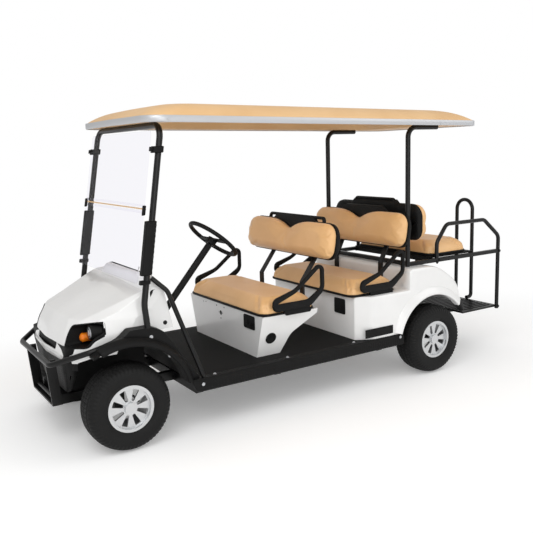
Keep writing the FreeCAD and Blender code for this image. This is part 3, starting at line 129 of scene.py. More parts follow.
def tint(paint, value, low, high, at=(0.3, 0.7)):
    """The base colour runs from low to high as the value passes the two stops."""
    made = node(paint, "ValToRGB", Fac=value)
    for stop, where, colour in zip(made.color_ramp.elements, at, (low, high)):
        stop.position, stop.color = where, (*colour, 1)
    into(paint, made.outputs["Color"], "Base Color")


def roughen(paint, value, low, high):
    """The roughness runs from low to high as the value runs from 0 to 1."""
    spread = node(paint, "MapRange", Value=value, To_Min=low, To_Max=high)
    into(paint, spread.outputs["Result"], "Roughness")


def bumps(paint, height, depth, strength=0.5):
    """Raise the surface by a pattern, this deep in metres."""
    bump = node(paint, "Bump", Height=height, Distance=depth, Strength=strength)
    into(paint, bump.outputs["Normal"], "Normal")


# %% [markdown]
# The body panels are moulded white plastic with a clear coat. Real gloss isn't perfect: a very
# slow wave in the surface bends reflections, and road dust dulls the white in soft clouds.

# %% White body panels
def body_white():
    """White under a thin clear coat, with slow waves and clouds of dust."""
    paint = finish("body_white", (0.86, 0.865, 0.87), 0.28, Coat_Weight=0.5, Coat_Roughness=0.06)
    bumps(paint, noise(paint, 9, 1), 0.002, 0.25)
    tint(paint, noise(paint, 3, 5, Roughness=0.6), (0.79, 0.79, 0.785), (0.845, 0.845, 0.84))
    return paint


# %% [markdown]
# Black parts come in three kinds: powder-coated steel tube with a faint orange peel, moulded
# plastic with a pebbled grain, and rubber. They differ in roughness and grain, not in colour.

# %% Black steel, plastic and rubber
def black_grain(name, colour, roughness, scale, depth, strength, worn, gloss):
    """A black finish: voronoi grain for the bump, slow noise for patches of wear and dust."""
    paint = finish(name, (colour,) * 3, roughness, Specular_IOR_Level=gloss)
    grain = node(paint, "TexVoronoi", Vector=place(paint), Scale=scale)
    bumps(paint, grain.outputs["Distance"], depth, strength)
    dust = noise(paint, 7, 8, Roughness=0.65)
    tint(paint, dust, (colour,) * 3, (colour + worn,) * 3, (0.4, 0.8))
    roughen(paint, dust, roughness - 0.06, roughness + 0.12)
    return paint


# %% [markdown]
# Seat vinyl is a printed leather grain: small cells with rounded tops. A second, slower noise
# tints it a little, as sun and wear do, and a weak sheen softens the edges.

# %% Tan vinyl and tan roof plastic
def tan_vinyl():
    """Leather grain from cells with rounded tops, tinted slowly."""
    paint = finish("tan_vinyl", (0.72, 0.47, 0.24), 0.42, Sheen_Weight=0.08, Coat_Weight=0.08,
                   Coat_Roughness=0.35)
    cells = node(paint, "TexVoronoi", Vector=place(paint), Scale=420)
    cells.feature = "SMOOTH_F1"
    mixed = node(paint, "Math", i0=cells.outputs["Distance"], i1=noise(paint, 60, 4))
    bumps(paint, mixed.outputs["Value"], 0.0006, 0.35)
    tint(paint, noise(paint, 4, 6), (0.74, 0.43, 0.18), (0.82, 0.5, 0.23))
    return paint


def tan_roof():
    """A finer pebble than the vinyl's, and no coat."""
    paint = finish("tan_roof", (0.73, 0.5, 0.27), 0.5)
    bumps(paint, noise(paint, 260, 3), 0.0008, 0.4)
    tint(paint, noise(paint, 2.5, 5), (0.72, 0.44, 0.2), (0.8, 0.52, 0.26))
    return paint


# %% [markdown]
# Metals: the painted wheels are a silver with fine flakes, the axle parts are bare castings painted
# darker than their own colour as shade, and the roof's edge trim is brushed, by a noise stretched
# along two of its three axes.

# %% Metals
def wheel_silver():
    """Painted metal: fine flakes make its gloss uneven."""
    paint = finish("wheel_silver", (0.62, 0.63, 0.64), 0.34, Metallic=0.85, Coat_Weight=0.3,
                   Coat_Roughness=0.1)
    roughen(paint, noise(paint, 900, 2), 0.26, 0.44)
    return paint


def shade_darkened_casting():
    """Sand-cast metal, its base colour and tint set near black as painted shade for the shadow under
    the nose.
    """
    # Painted shade: the base colour and the tint's two colours are far darker than bare metal, to
    # stand for the shadow round the front axle; the tint's noise itself is random tone.
    paint = finish("shade_darkened_casting", (0.03, 0.03, 0.032), 0.6, Metallic=0.4)
    bumps(paint, noise(paint, 350, 4), 0.001, 0.5)
    tint(paint, noise(paint, 18, 6), (0.018, 0.018, 0.02), (0.05, 0.047, 0.045))
    return paint


def trim_silver():
    """Brushed metal: streaks that run along the band."""
    paint = finish("trim_silver", (0.55, 0.56, 0.58), 0.42, Metallic=0.55)
    streak = node(paint, "Mapping", Vector=place(paint), Scale=(4, 4, 900))
    brushed = node(paint, "TexNoise", Vector=streak.outputs["Vector"], Scale=1, Detail=3)
    roughen(paint, brushed.outputs["Fac"], 0.34, 0.52)
    return paint


# %% [markdown]
# The windshield and the lamp lenses are clear plastic. Light passes straight through a thin flat
# sheet, so its shader transmits all of it. The coloured lenses transmit only a fifth.

# %% Clear sheet and lamp lenses
def clear_plastic(name, colour, roughness, ripple=0.0, bend=1.45, through=1.0):
    """Plastic that bends light by this index, lets this share through and may be rippled."""
    paint = finish(name, colour, roughness, Transmission_Weight=through, IOR=bend)
    if ripple:
        wave = node(paint, "TexWave", Vector=place(paint), Scale=60)
        bumps(paint, wave.outputs["Fac"], ripple, 0.5)
    return paint


finishes = {
    "white_panel": body_white(),
    "black_steel": black_grain("black_steel", 0.004, 0.3, 500, 0.0003, 0.25, 0.002, 0.3),
    "black_plastic": black_grain("black_plastic", 0.005, 0.5, 700, 0.0006, 0.5, 0.003, 0.16),
    "tyre": black_grain("tyre_rubber", 0.006, 0.6, 300, 0.0006, 0.5, 0.004, 0.22),
    "floor_mat": black_grain("floor_mat", 0.007, 0.68, 220, 0.0012, 0.6, 0.005, 0.12),
    "tan_vinyl": tan_vinyl(),
    "tan_roof": tan_roof(),
    "alloy": wheel_silver(),
    # The bare_steel parts get a casting finish darkened as painted shade.
    "bare_steel": shade_darkened_casting(),
    "silver_trim": trim_silver(),
    "clear": clear_plastic("clear_sheet", (0.93, 0.925, 0.96), 0.02, bend=1.05),
    "lamp_clear": clear_plastic("lamp_clear", (0.93, 0.94, 0.95), 0.08, 0.001),
    "lamp_amber": clear_plastic("lamp_amber", (1.0, 0.25, 0.01), 0.15, 0.001, through=0.2),
    "lamp_red": clear_plastic("lamp_red", (0.6, 0.01, 0.01), 0.15, 0.001, through=0.2),
}
for part in frame["record"]["subparts"]:
    for slot in cart[part["node"]].material_slots:
        slot.material = finishes[part["material_slot"]]
print(len(finishes), "finishes on", len(cart), "parts")

# %% [markdown]
# Every new piece below is a set of points worked out at once with numpy. A form is a pair: its
# points and its faces. A grid form joins each point of a table to its neighbours. Turned and
# swept forms only compute the table: a ring for each point of a profile or of a path.

# %% Forms from tables of points
def grid_form(rows, wrap=(False, True), caps=False):
    """Vertex (i, j) is rows[i, j]; quads join (i, j), (i, j+1), (i+1, j+1) and (i+1, j)."""
    rows = np.asarray(rows, float)
    n, m = rows.shape[:2]
    i, j = np.meshgrid(np.arange(n - (not wrap[0])), np.arange(m - (not wrap[1])), indexing="ij")
    i, j = i.ravel(), j.ravel()
    next_i, next_j = (i + 1) % n, (j + 1) % m
    faces = np.stack([i * m + j, i * m + next_j, next_i * m + next_j, next_i * m + j], -1).tolist()
    if caps:
        faces += [list(range(m)), list(range((n - 1) * m, n * m))]
    return rows.reshape(-1, 3), faces


def across(axis):
    """Two unit directions square to an axis and to each other."""
    axis = np.asarray(axis, float) / np.linalg.norm(axis)
    side = np.cross(axis, (0, 0, 1) if abs(axis[2]) < 0.9 else (1, 0, 0))
    side /= np.linalg.norm(side)
    return axis, side, np.cross(axis, side)


def turned_form(profile, centre, axis, steps=32):
    """Point (along a, radius r, angle t) = centre + a*axis + r*(cos t * side + sin t * other)."""
    profile = np.asarray(profile, float)
    axis, side, other = across(axis)
    angle = np.linspace(0, 2 * np.pi, steps, endpoint=False)[None, :, None]
    ring = np.cos(angle) * side + np.sin(angle) * other
    rows = np.asarray(centre) + profile[:, 0, None, None] * axis + profile[:, 1, None, None] * ring
    return grid_form(rows)


def rounded(points, radii, steps=8):
    """Each corner becomes an arc, written as the rational curve
    ((1-s)^2 a + 2ws(1-s) p + s^2 b) / ((1-s)^2 + 2ws(1-s) + s^2) between its two touch points."""
    p = np.asarray(points, float)
    to_last, to_next = np.roll(p, 1, 0) - p, np.roll(p, -1, 0) - p
    to_last /= np.linalg.norm(to_last, axis=1, keepdims=True)
    to_next /= np.linalg.norm(to_next, axis=1, keepdims=True)
    half = np.arccos(np.clip((to_last * to_next).sum(1), -1, 1))[:, None] / 2
    reach = np.asarray(radii, float).reshape(-1, 1) / np.tan(half)
    s = np.linspace(0, 1, steps)[None, :, None]
    w = np.sin(half)[:, None]
    a, b = (p + to_last * reach)[:, None], (p + to_next * reach)[:, None]
    arcs = (1 - s) ** 2 * a + 2 * w * s * (1 - s) * p[:, None] + s ** 2 * b
    return (arcs / ((1 - s) ** 2 + 2 * w * s * (1 - s) + s ** 2)).reshape(-1, p.shape[1])


def swept_form(path, flat, section, closed=True, widen=1.0):
    """Carry a section along a path. With t the path's unit direction, out = t x flat made unit
    and up = out x t, so section point (a, b) lands at path + widen*a*out + b*up."""
    path, flat = np.asarray(path, float), np.asarray(flat, float)
    ahead = np.roll(path, -1, 0) - np.roll(path, 1, 0)
    if not closed:
        ahead[0], ahead[-1] = path[1] - path[0], path[-1] - path[-2]
    ahead /= np.linalg.norm(ahead, axis=1, keepdims=True)
    out = np.cross(ahead, flat)
    out /= np.linalg.norm(out, axis=1, keepdims=True)
    up_by = np.cross(out, ahead)
    section = np.asarray(section, float)
    out *= np.broadcast_to(widen, len(path))[:, None]
    rows = path[:, None] + out[:, None] * section[:, :1] + up_by[:, None] * section[:, 1:]
    return grid_form(rows, (closed, True), not closed)


def rectangle(start, end, radius, steps=8):
    """A rectangle from corner to corner, its first side along the first axis, corners rounded."""
    (a, b), (c, d) = start, end
    return rounded([(a, b), (c, b), (c, d), (a, d)], [radius] * 4, steps)


def bent(points, radii, steps=8):
    """An open path with round corners: the arcs of a closed one, less points that repeat."""
    path = rounded(points, radii, steps)
    step = np.linalg.norm(np.diff(path, axis=0), axis=1)
    return path[np.concatenate([[True], step > 1e-6])]


def stack_form(outlines):
    """Outlines with the same number of points, joined in order and closed at both ends."""
    return grid_form(np.stack(outlines), (False, True), True)


def at_level(line, level):
    """A plan outline (x, y) put at a height."""
    return np.column_stack([line, np.full(len(line), level)])


def circle(radius, count=10):
    """Points (r cos t, r sin t)."""
    angle = np.linspace(0, 2 * np.pi, count, endpoint=False)
    return np.stack([radius * np.cos(angle), radius * np.sin(angle)], -1)


def plate_form(outline, normal, thickness, edge=0.0015):
    """A flat plate: its outline at the back, at the front, and a smaller one for the worn edge."""
    outline, normal = np.asarray(outline, float), np.asarray(normal, float)
    middle = outline.mean(0)
    inward = middle - outline
    inward *= edge / np.linalg.norm(inward, axis=1, keepdims=True)
    rows = [outline, outline + normal * (thickness - edge), outline + inward + normal * thickness]
    return stack_form(rows)


def copies(form, places, axes=None):
    """The same small form at many places; its own +Z turns to each place's axis."""
    points, faces = form
    places = np.asarray(places, float)
    axes = np.broadcast_to(np.asarray((0, 0, 1) if axes is None else axes, float), places.shape)
    frames = np.stack([np.roll(across(axis), -1, 0) for axis in axes])
    spread = places[:, None] + np.einsum("pk,nkd->npd", points, frames)
    shift = np.arange(len(places)) * len(points)
    return spread.reshape(-1, 3), [[v + s for v in face] for s in shift.tolist() for face in faces]


def flip(form, side=-1):
    """The same form on the cart's other side, or where it is when side is 1."""
    return form[0] * (1, side, 1), form[1]


def apply(piece, modifier):
    """Turn a modifier's result into the piece's own mesh."""
    with bpy.context.temp_override(object=piece, active_object=piece):
        bpy.ops.object.modifier_apply(modifier=modifier.name)


def mesh_of(name, forms, gap):
    """A mesh of several forms, its points merged within this gap, its faces turned outwards."""
    points, faces, count = [], [], 0
    for some, joins in forms:
        points.append(some)
        faces += [[v + count for v in face] for face in joins]
        count += len(some)
    mesh = bpy.data.meshes.new(name)
    mesh.from_pydata(np.concatenate(points).tolist(), [], faces)
    shape = bmesh.new()
    shape.from_mesh(mesh)
    bmesh.ops.remove_doubles(shape, verts=shape.verts, dist=gap)
    if gap > 1e-6:
        bmesh.ops.dissolve_degenerate(shape, edges=shape.edges, dist=1e-6)
    bmesh.ops.recalc_face_normals(shape, faces=shape.faces)
    shape.to_mesh(mesh)
    shape.free()
    return mesh


def made(name, forms, look, body="cart", stands_for=(), angle=40):
    """One smooth-shaded object from several forms, joined to a body."""
    mesh = mesh_of(name, forms, 1e-5)
    mesh.polygons.foreach_set("use_smooth", np.ones(len(mesh.polygons), bool))
    mesh.set_sharp_from_angle(angle=math.radians(angle))
    piece = bpy.data.objects.new(name, mesh)
    scene.collection.objects.link(piece)
    mesh.materials.append(finishes[look])
    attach(piece, body)
    if stands_for:
        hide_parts(*stands_for)
    print(name, len(mesh.polygons), "faces")
    return piece


# %% [markdown]
# A cart tyre has a rounded section, a shoulder that wraps far round, and a tread of zigzag
# grooves. We write its section as a superellipse and press the grooves in as a depth that depends
# on the angle and the place across the tread, so a tread block has real edges from any side.

# %% Tyres
PITCHES, ZIGZAG = 60, 0.0045
GROOVES, GROOVE_HALF, GROOVE_DEPTH = (-0.056, -0.019, 0.019, 0.056), 0.0036, 0.0065
NOTCH_DEPTH, SIPE_DEPTH = 0.005, 0.003
SIDE_RINGS, RING_HALF, RING_RISE = (0.158, 0.17, 0.212), 0.0016, 0.0012


def tyre_rows(centre, side, turns=480, across_count=84):
    """Section: |y/half|^n + |(r-mid)/rise|^n = 1, less a tread depth that is 1 inside a groove."""
    half, low, high, bead = 0.1075, 0.1333, 0.266, 0.0797
    mid, rise, n = (low + high) / 2, (high - low) / 2, 2.9
    t = np.linspace(-0.6, np.pi + 0.6, across_count)[None, :]
    y = half * np.sign(np.cos(t)) * np.abs(np.cos(t)) ** (2 / n)
    r = mid + rise * np.sign(np.sin(t)) * np.abs(np.sin(t)) ** (2 / n)
    turn = np.linspace(0, 2 * np.pi, turns, endpoint=False)[:, None]
    pitch = 2 * np.pi / PITCHES
    beat = 2 * np.pi * turn / pitch
    saw = np.abs((turn / pitch) % 1 - 0.5) * 4 - 1
    depth = np.zeros((turns, across_count))
    for line, phase in zip(GROOVES, (1, -1, 1, -1)):
        off = (y - line - ZIGZAG * phase * saw) / GROOVE_HALF
        depth = np.maximum(depth, np.exp(-off ** 4) * GROOVE_DEPTH)
    notch = np.clip(2.2 * np.cos(beat + np.sign(y)), 0, 1)
    shoulder = np.clip((np.abs(y) - 0.07) / 0.012, 0, 1) * np.clip((r - 0.218) / 0.012, 0, 1)
    depth = np.maximum(depth, notch * shoulder * NOTCH_DEPTH)
    sipe = np.clip(3 * np.cos(beat + 1.5) - 2, 0, 1)
    depth = np.maximum(depth, sipe * (np.abs(y) < 0.05) * (r > 0.25) * SIPE_DEPTH)
    ridge = sum(np.exp(-((r - ring) / RING_HALF) ** 2) for ring in SIDE_RINGS)
    size = r - depth + 0 * turn
    y = y + np.sign(y) * ridge * RING_RISE * (r < 0.23) + 0 * turn
    rows = np.stack([size * np.cos(turn), y * side, size * np.sin(turn)], -1)
    bead_in = np.stack([low * np.cos(turn), bead * side + 0 * turn, low * np.sin(turn)], -1)
    return np.concatenate([bead_in, rows, bead_in * (1, -1, 1)], 1) + centre


for corner in (f"{end}_{hand}" for end in ("front", "rear") for hand in ("left", "right")):
    low, high = (np.array(c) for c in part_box("tyre_" + corner))
    side = 1 if "left" in corner else -1
    rows = tyre_rows((low + high) / 2, side)
    made("tread_" + corner, [grid_form(rows, (True, True))], "tyre", "wheel_" + corner,
         ["tyre_" + corner], 50)

# %% [markdown]
# The roof is one formed sheet: a nearly straight front edge, a smooth crown and a raised field at
# each end, on a slope that falls to the rear. It could be sculpted from a plane, but its shape
# is simply one plan outline that shrinks as it rises, so we stack that outline row by row.

# %% Roof and its edge trim
FRONT_AXLE, REAR_AXLE = ((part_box(f"tyre_{end}_left")[0][0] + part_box(f"tyre_{end}_left")[1][0]) / 2
                         for end in ("front", "rear"))
ROOF_FRONT, ROOF_REAR, ROOF_HALF = FRONT_AXLE - 0.192, FRONT_AXLE - 2.99, 0.588
ROOF_LEVEL, ROOF_SLOPE, EDGE, CROWN = 1.945, 0.0146, 0.034, 0.084
BROW, TAIL, SIDE_SLOPE = 0.36, 0.43, 0.23
FIELD_LENGTH, FIELD_HALF = 0.42, 0.33


def from_axle(spots, axle=FRONT_AXLE):
    """Points whose first number is measured ahead of an axle, put where that axle is."""
    return [(axle + spot[0], *spot[1:]) for spot in spots]


def roof_under(x):
    """The height of the roof's lower edge, a straight line that falls to the rear."""
    return ROOF_LEVEL - ROOF_SLOPE * (ROOF_FRONT - x)


def roof_row(front, rear, side, level):
    """The roof's plan outline moved in by these amounts, at a height measured on its slope."""
    half = ROOF_HALF - side
    nose = ROOF_FRONT - front
    corners = [(nose, 0), (nose - 0.022, half), (ROOF_REAR + rear, half),
               (ROOF_REAR + rear, -half), (nose - 0.022, -half)]
    line = rounded(corners, [2.5, 0.13, 0.09, 0.09, 0.13], 12)
    return np.column_stack([line, roof_under(line[:, 0]) + level])


inset = np.concatenate([np.linspace(0, 0.3, 9), np.linspace(0.36, 1, 12)])
roof_rows = [roof_row(0.33, 0.33, 0.17, 0.052), roof_row(0.3, 0.3, 0.15, 0.044),
             roof_row(0.22, 0.27, 0.13, 0.004), roof_row(0.2, 0.25, 0.11, 0),
             roof_row(0.004, 0.004, 0.004, 0), roof_row(0, 0, 0, 0.004)]
roof_rows += [roof_row(BROW * s, TAIL * s, SIDE_SLOPE * s, EDGE + CROWN * (1 - (1 - s) ** 2.9))
              for s in inset]


def raised_field(front):
    """A low field across the crown, this far behind the front edge."""
    rows = []
    for grow, rise in ((0.02, -0.02), (0, 0), (-0.035, 0.006), (-0.07, 0.011), (-0.11, 0.013)):
        nose, half = ROOF_FRONT - front + grow, FIELD_HALF + grow
        tail = ROOF_FRONT - front - FIELD_LENGTH - grow
        line = rectangle((nose, half), (tail, -half), 0.09)
        rows.append(np.column_stack([line, roof_under(line[:, 0]) + EDGE + CROWN + rise]))
    return stack_form(rows)


made("roof_skin", [stack_form(roof_rows), raised_field(0.3), raised_field(2.05)], "tan_roof",
     stands_for=["roof_canopy"], angle=60)
band = [roof_row(-g, -g, -g, z) for g, z in ((0.0045, -0.006), (0.0073, -0.002), (0.0073, 0.03),
                                             (0.0045, 0.0345), (0.0003, 0.0345), (0.0003, -0.006))]
made("roof_edge_band", [grid_form(np.stack(band), (True, True))], "silver_trim",
     stands_for=["roof_trim"], angle=50)

# %% [markdown]
# Two steel tubes lean back from the fenders to the roof, joined by a header, and carry the
# windshield: two clear sheets in rubber clips, hinged at the split. All of it follows the
# struts' lean, so one pair of functions tells where a strut is at any height.

# %% Front hoop and windshield
STRUT, STRUT_FOOT, STRUT_HALF = 0.019, 0.875, 0.565
LEAN_BACK, LEAN_IN = 0.172, 0.0245


def strut_at(level):
    """A front strut's middle (x, y): both fall in proportion to the height above its foot."""
    rise = level - STRUT_FOOT
    return FRONT_AXLE - 0.132 - LEAN_BACK * rise, STRUT_HALF - LEAN_IN * rise


header = roof_under(1.2) - STRUT - 0.001
leg = [(FRONT_AXLE - 0.145, STRUT_HALF, 0.733), (*strut_at(STRUT_FOOT), STRUT_FOOT),
       (*strut_at(header), header)]
far_leg = [(x, -y, z) for x, y, z in leg[::-1]]
hoop = bent(leg + far_leg, [0, 0.2, 0.08, 0.08, 0.2, 0], 10)
made("front_hoop", [swept_form(hoop, (1, 0, 0), circle(STRUT, 20), False)], "black_steel",
     stands_for=["front_struts"])
LEAN_AHEAD = np.array((1, 0, LEAN_BACK)) / math.hypot(1, LEAN_BACK)


def sheet(low, high, ahead, thickness, radii):
    """A flat sheet between two heights that leans with the struts, this far ahead of them."""
    corners = []
    for level, side in ((low, 1), (low, -1), (high, -1), (high, 1)):
        half = 0.538 - LEAN_IN * (level - 0.988)
        corners.append((strut_at(level)[0], side * half, level))
    line = rounded(corners, radii, 8) + LEAN_AHEAD * (ahead - thickness / 2)
    return plate_form(line, LEAN_AHEAD, thickness, 0.0012)


GLASS_AHEAD, SPLIT = 0.045, 1.43
for name, low, high, radii in (("lower", 0.992, SPLIT - 0.007, (0.03, 0.03, 0.002, 0.002)),
                               ("upper", SPLIT + 0.007, 1.884, (0.002, 0.002, 0.025, 0.025))):
    made(name + "_sheet", [sheet(low, high, GLASS_AHEAD, 0.006, radii)], "clear",
         stands_for=["windshield_" + name], angle=20)
seam = [sheet(SPLIT + low, SPLIT + low + 0.014, GLASS_AHEAD - 0.009, 0.009, [0.003] * 4)
        for low in (-0.026, 0.012)]
made("windshield_seam", seam, "clear", stands_for=["windshield_hinge"], angle=20)
made("seam_hinge_rod", [sheet(SPLIT - 0.004, SPLIT + 0.004, GLASS_AHEAD - 0.008, 0.008,
                              [0.002] * 4)], "tan_roof")

# %% [markdown]
# The clips, the ribbed sleeves and the clamps are rounded blocks round the struts. Each is a plan
# outline that follows the strut's lean from level to level and swells or shrinks a little.

# %% Windshield fittings
def strut_block(levels, back, front, inner, outer, bend):
    """Rounded plan outlines round the left strut; each level has its own small swell."""
    rows = []
    for level, swell_by in levels:
        x, y = strut_at(level)
        line = rectangle((x - back - swell_by, y - inner - swell_by),
                         (x + front, y + outer + swell_by), bend, 5)
        rows.append(at_level(line, level))
    return stack_form(rows)


def clamp(foot, stretch=1.0):
    """The levels of a clamp with worn edges, from its foot up."""
    return [(foot + z * stretch, swell_by)
            for z, swell_by in ((0, -0.004), (0.003, 0), (0.036, 0), (0.039, -0.004))]


ribs = np.linspace(1.062, 1.355, 20)
sleeve = [(1.05, -0.006), (1.054, 0)] + [(z, -0.0012 * (i % 2)) for i, z in enumerate(ribs)]
sleeve += [(1.363, 0), (1.368, -0.006)]
blocks = [strut_block(sleeve, 0.026, 0.041, 0.024, 0.026, 0.012),
          strut_block(clamp(1.762), 0.025, 0.041, 0.026, 0.026, 0.009),
          strut_block(clamp(0.996, 0.6), 0.021, 0.041, 0.021, 0.021, 0.008),
          strut_block(clamp(SPLIT - 0.03, 1.5), -0.036, 0.056, 0.034, -0.018, 0.004),
          strut_block([(1.772, 0), (1.775, 0.002), (1.795, 0.002), (1.798, 0)],
                      0.008, 0.056, 0.012, 0.012, 0.006)]
mirror = [flip(block) for block in blocks]
made("windshield_clamps", blocks + mirror, "black_plastic", stands_for=["windshield_fittings"])

# %% [markdown]
# The cowl is one moulded panel, and it carries the cart's face. Seen from above it is a rounded
# outline with a raised middle field and two cheeks. That outline changes with the height and
# slides back up the hood's line, so the skin is a table: a row for each point of the line.

# %% Cowl skin
COWL_LEVELS = (0.7, 0.785, 0.84, 0.94)
COWL_WIDTHS = {
    "field": (0.285, 0.256, 0.262, 0.27), "field_bow": (0.022, 0.011, 0.033, 0.034),
    "corner": (0.385, 0.362, 0.402, 0.47), "corner_bow": (0.046, 0.046, 0.05, 0.048),
    "cheek": (0.466, 0.452, 0.474, 0.49), "cheek_bow": (0.15, 0.128, 0.142, 0.078),
    "side_bow": (0.355, 0.345, 0.33, 0.19)}
COWL_HALF, COWL_BACK = 0.5, 0.342
hood_line = bent([(0.318, 0.545), (0.335, 0.58), (0.296, 0.7), (0.244, 0.79), (-0.112, 0.943),
                  (-0.15, 0.958)], [0, 0.035, 0.25, 0.022, 0.02, 0], 10)


def even(line, count):
    """The same open line with points evenly spaced along it."""
    run = np.concatenate([[0], np.cumsum(np.linalg.norm(np.diff(line, axis=0), axis=1))])
    at = np.linspace(0, run[-1], count)
    return np.column_stack([np.interp(at, run, column) for column in line.T])


def cowl_row(reach, level, inset):
    """The plan outline whose middle is this far ahead of the axle, moved in by inset."""
    w = {key: np.interp(level, COWL_LEVELS, values) for key, values in COWL_WIDTHS.items()}
    side_bow = min(w["side_bow"], reach + 0.325)
    half = COWL_HALF - inset
    left = [(reach - w["field_bow"], w["field"]), (reach - w["corner_bow"], w["corner"] - inset),
            (reach - w["cheek_bow"], w["cheek"] - inset), (reach - side_bow, half),
            (-COWL_BACK, half)]
    near = [w["field"] / 3, (w["cheek"] - w["corner"]) / 2, (w["cheek"] - w["corner"]) / 2,
            (COWL_HALF - w["cheek"]) / 1.5, 0]
    corners = [(reach, 0)] + left + [(x, -y) for x, y in left[::-1]]
    line = rounded(corners, [0.6] + near + near[::-1], 7)
    return at_level(line + (FRONT_AXLE, 0), level)


def cowl_form(inset):
    """The cowl as a closed form, its line moved in by inset along the line's own normal."""
    line = even(hood_line, 64)
    run = np.gradient(line, axis=0)
    run /= np.linalg.norm(run, axis=1, keepdims=True)
    line = line - np.column_stack([run[:, 1], -run[:, 0]]) * inset
    if inset:
        line[0, 1] -= 0.05
    return stack_form([cowl_row(reach, level, inset) for reach, level in line])

# %% [markdown]
# The openings are cut out: a solid the shape of each hole is taken away from the
# closed form. Taking away the same form moved in by the wall's thickness makes it hollow.

# %% Openings in the cowl
def box_form(outline, axis, low, high):
    """A prism: an outline in the other two axes, carried along one axis."""
    outline = np.asarray(outline, float)
    return stack_form([np.insert(outline, axis, value, 1) for value in (low, high)])


def cut(piece, forms, operation="DIFFERENCE", angle=None):
    """Take closed forms away from a piece, or keep what they share, by exact booleans."""
    for form in forms:
        tool = bpy.data.objects.new("cutter", mesh_of("cutter", [form], 1e-6))
        scene.collection.objects.link(tool)
        away = piece.modifiers.new("away", "BOOLEAN")
        away.object, away.operation, away.solver = tool, operation, "EXACT"
        apply(piece, away)
        bpy.data.meshes.remove(tool.data)
    if angle:
        piece.data.set_sharp_from_angle(angle=math.radians(angle))


def lamp_opening(inset, back):
    """The lamp pocket: a flat foot, a rounded tip and a slanted brow, from back to the front."""
    low, high, inner, outer = 0.64 + inset, 0.79 - inset, 0.318 + inset, 0.476 - inset
    line = rounded([(inner, low), (outer - 0.026, low), (outer, (low + high) / 2), (outer, high),
                    (inner, high - 0.03)], [0.012, 0.026, 0.05, 0.028, 0.028], 6)
    return box_form(line, 0, back, FRONT_AXLE + 0.4)


BEHIND = FRONT_AXLE - COWL_BACK
arch = [(BEHIND - 0.05, 0.3), (BEHIND - 0.05, 0.692)] + from_axle(
    [(-0.02, 0.692), (0.03, 0.585), (0.185, 0.578), (0.242, 0.55), (0.242, 0.3)])
rear = from_axle([(-0.215, 1.1), (-0.215, 1.028), (-0.29, 0.93)])
rear += [(BEHIND, 0.692), (BEHIND - 0.05, 0.692), (BEHIND - 0.05, 1.1)]
pocket_back = FRONT_AXLE + 0.09
hood_rows = []
for level, inset in ((0.925, 0), (0.99, 0.0), (1.012, 0.003), (1.024, 0.01), (1.028, 0.022)):
    share = (level - 0.93) / 0.106
    front, back = -0.158 - 0.038 * share - inset, -0.29 + 0.07 * share
    inner, outer = -0.292 + 0.034 * share + inset, 0.488 - inset
    line = rounded(from_axle([(front, inner), (front, outer), (back, outer), (back, inner)]),
                   [0.03, 0.02, 0.002, 0.002], 6)
    hood_rows.append(at_level(line, level))
grille_line = rectangle((-0.2, 0.598), (0.2, 0.642), 0.01, 5)
cowl = made("cowl_skin", [cowl_form(0)], "white_panel", stands_for=["front_cowl"], angle=28)
opening = lamp_opening(0, pocket_back - 0.01)
windows = [opening, flip(opening),
           box_form(grille_line, 0, FRONT_AXLE + 0.1, FRONT_AXLE + 0.5)]
rooms = [box_form(arch, 1, -0.6, 0.6), box_form(rear, 1, -0.6, 0.6)]
cut(cowl, [cowl_form(0.006)] + rooms + windows, angle=28)
lining = made("cowl_lining", [cowl_form(0.0068)], "black_plastic")
cut(lining, [cowl_form(0.0088)] + rooms + windows)
made("instrument_hood", [stack_form(hood_rows)], "white_panel", angle=40)

# %% [markdown]
# Behind the cowl's openings: a black bucket for each lamp pair, the slats of the grille, and a
# dark liner that closes the nose down to the bumper's frame.

# %% Lamp buckets, grille slats and nose liner
for side, hand in ((1, "left"), (-1, "right")):
    pocket = made("lamp_pocket_" + hand, [flip(lamp_opening(-0.004, pocket_back), side)],
                  "black_plastic", stands_for=["lamp_buckets"] if side > 0 else ())
    cut(pocket, [cowl_form(-0.003)], "INTERSECT")
    cut(pocket, [flip(lamp_opening(0.003, pocket_back + 0.004), side)], angle=35)
slats = [box_form(rounded(from_axle([(0.262, z), (0.3, z - 0.006), (0.3, z - 0.001),
                                     (0.262, z + 0.005)]), [0.0015] * 4, 3), 1, -0.199, 0.199)
         for z in (0.608, 0.621, 0.634)]
made("grille_slats", slats, "black_plastic", stands_for=["grille_insert"])
liner = []
for level, back, front, half in ((0.64, 0.24, 0.3, 0.43), (0.56, 0.24, 0.302, 0.42),
                                 (0.46, 0.235, 0.292, 0.38), (0.33, 0.24, 0.276, 0.28)):
    corners = [(back, -half), (back, half), (front, half * 0.86), (front, -half * 0.86)]
    liner.append(at_level(rounded(from_axle(corners), [0.02, 0.02, 0.05, 0.05], 5), level))
made("nose_liner", [stack_form(liner)], "black_plastic")
wall = rectangle((FRONT_AXLE - 0.26, 0.315), (FRONT_AXLE + 0.236, 0.575), 0.03, 5)
made("wheel_well_walls", [box_form(wall, 1, y - 0.004, y + 0.004) for y in (0.2, -0.2)],
     "black_plastic")
dash_low, dash_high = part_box("dash_panel")
dash = rounded([(dash_low[0], dash_low[2]), (dash_high[0] - 0.03, dash_low[2]),
                (dash_high[0] - 0.012, 0.94), (dash_low[0] + 0.05, 0.95)],
               [0.01, 0.01, 0.02, 0.03], 6)
made("dash_board", [box_form(dash, 1, dash_low[1], dash_high[1])], "black_plastic",
     stands_for=["dash_panel"])

# %% [markdown]
# Behind each front wheel stands a black kick panel, cut round the wheel arch, and a thick rolled
# flare follows the arch from the bumper's end down to the step. The flare is one section carried
# along an arc about the axle. Two bent tubes tie the cowl to the side steps.

# %% Fenders, flares and braces
AXLE_LEVEL, ARCH = 0.266, 0.384


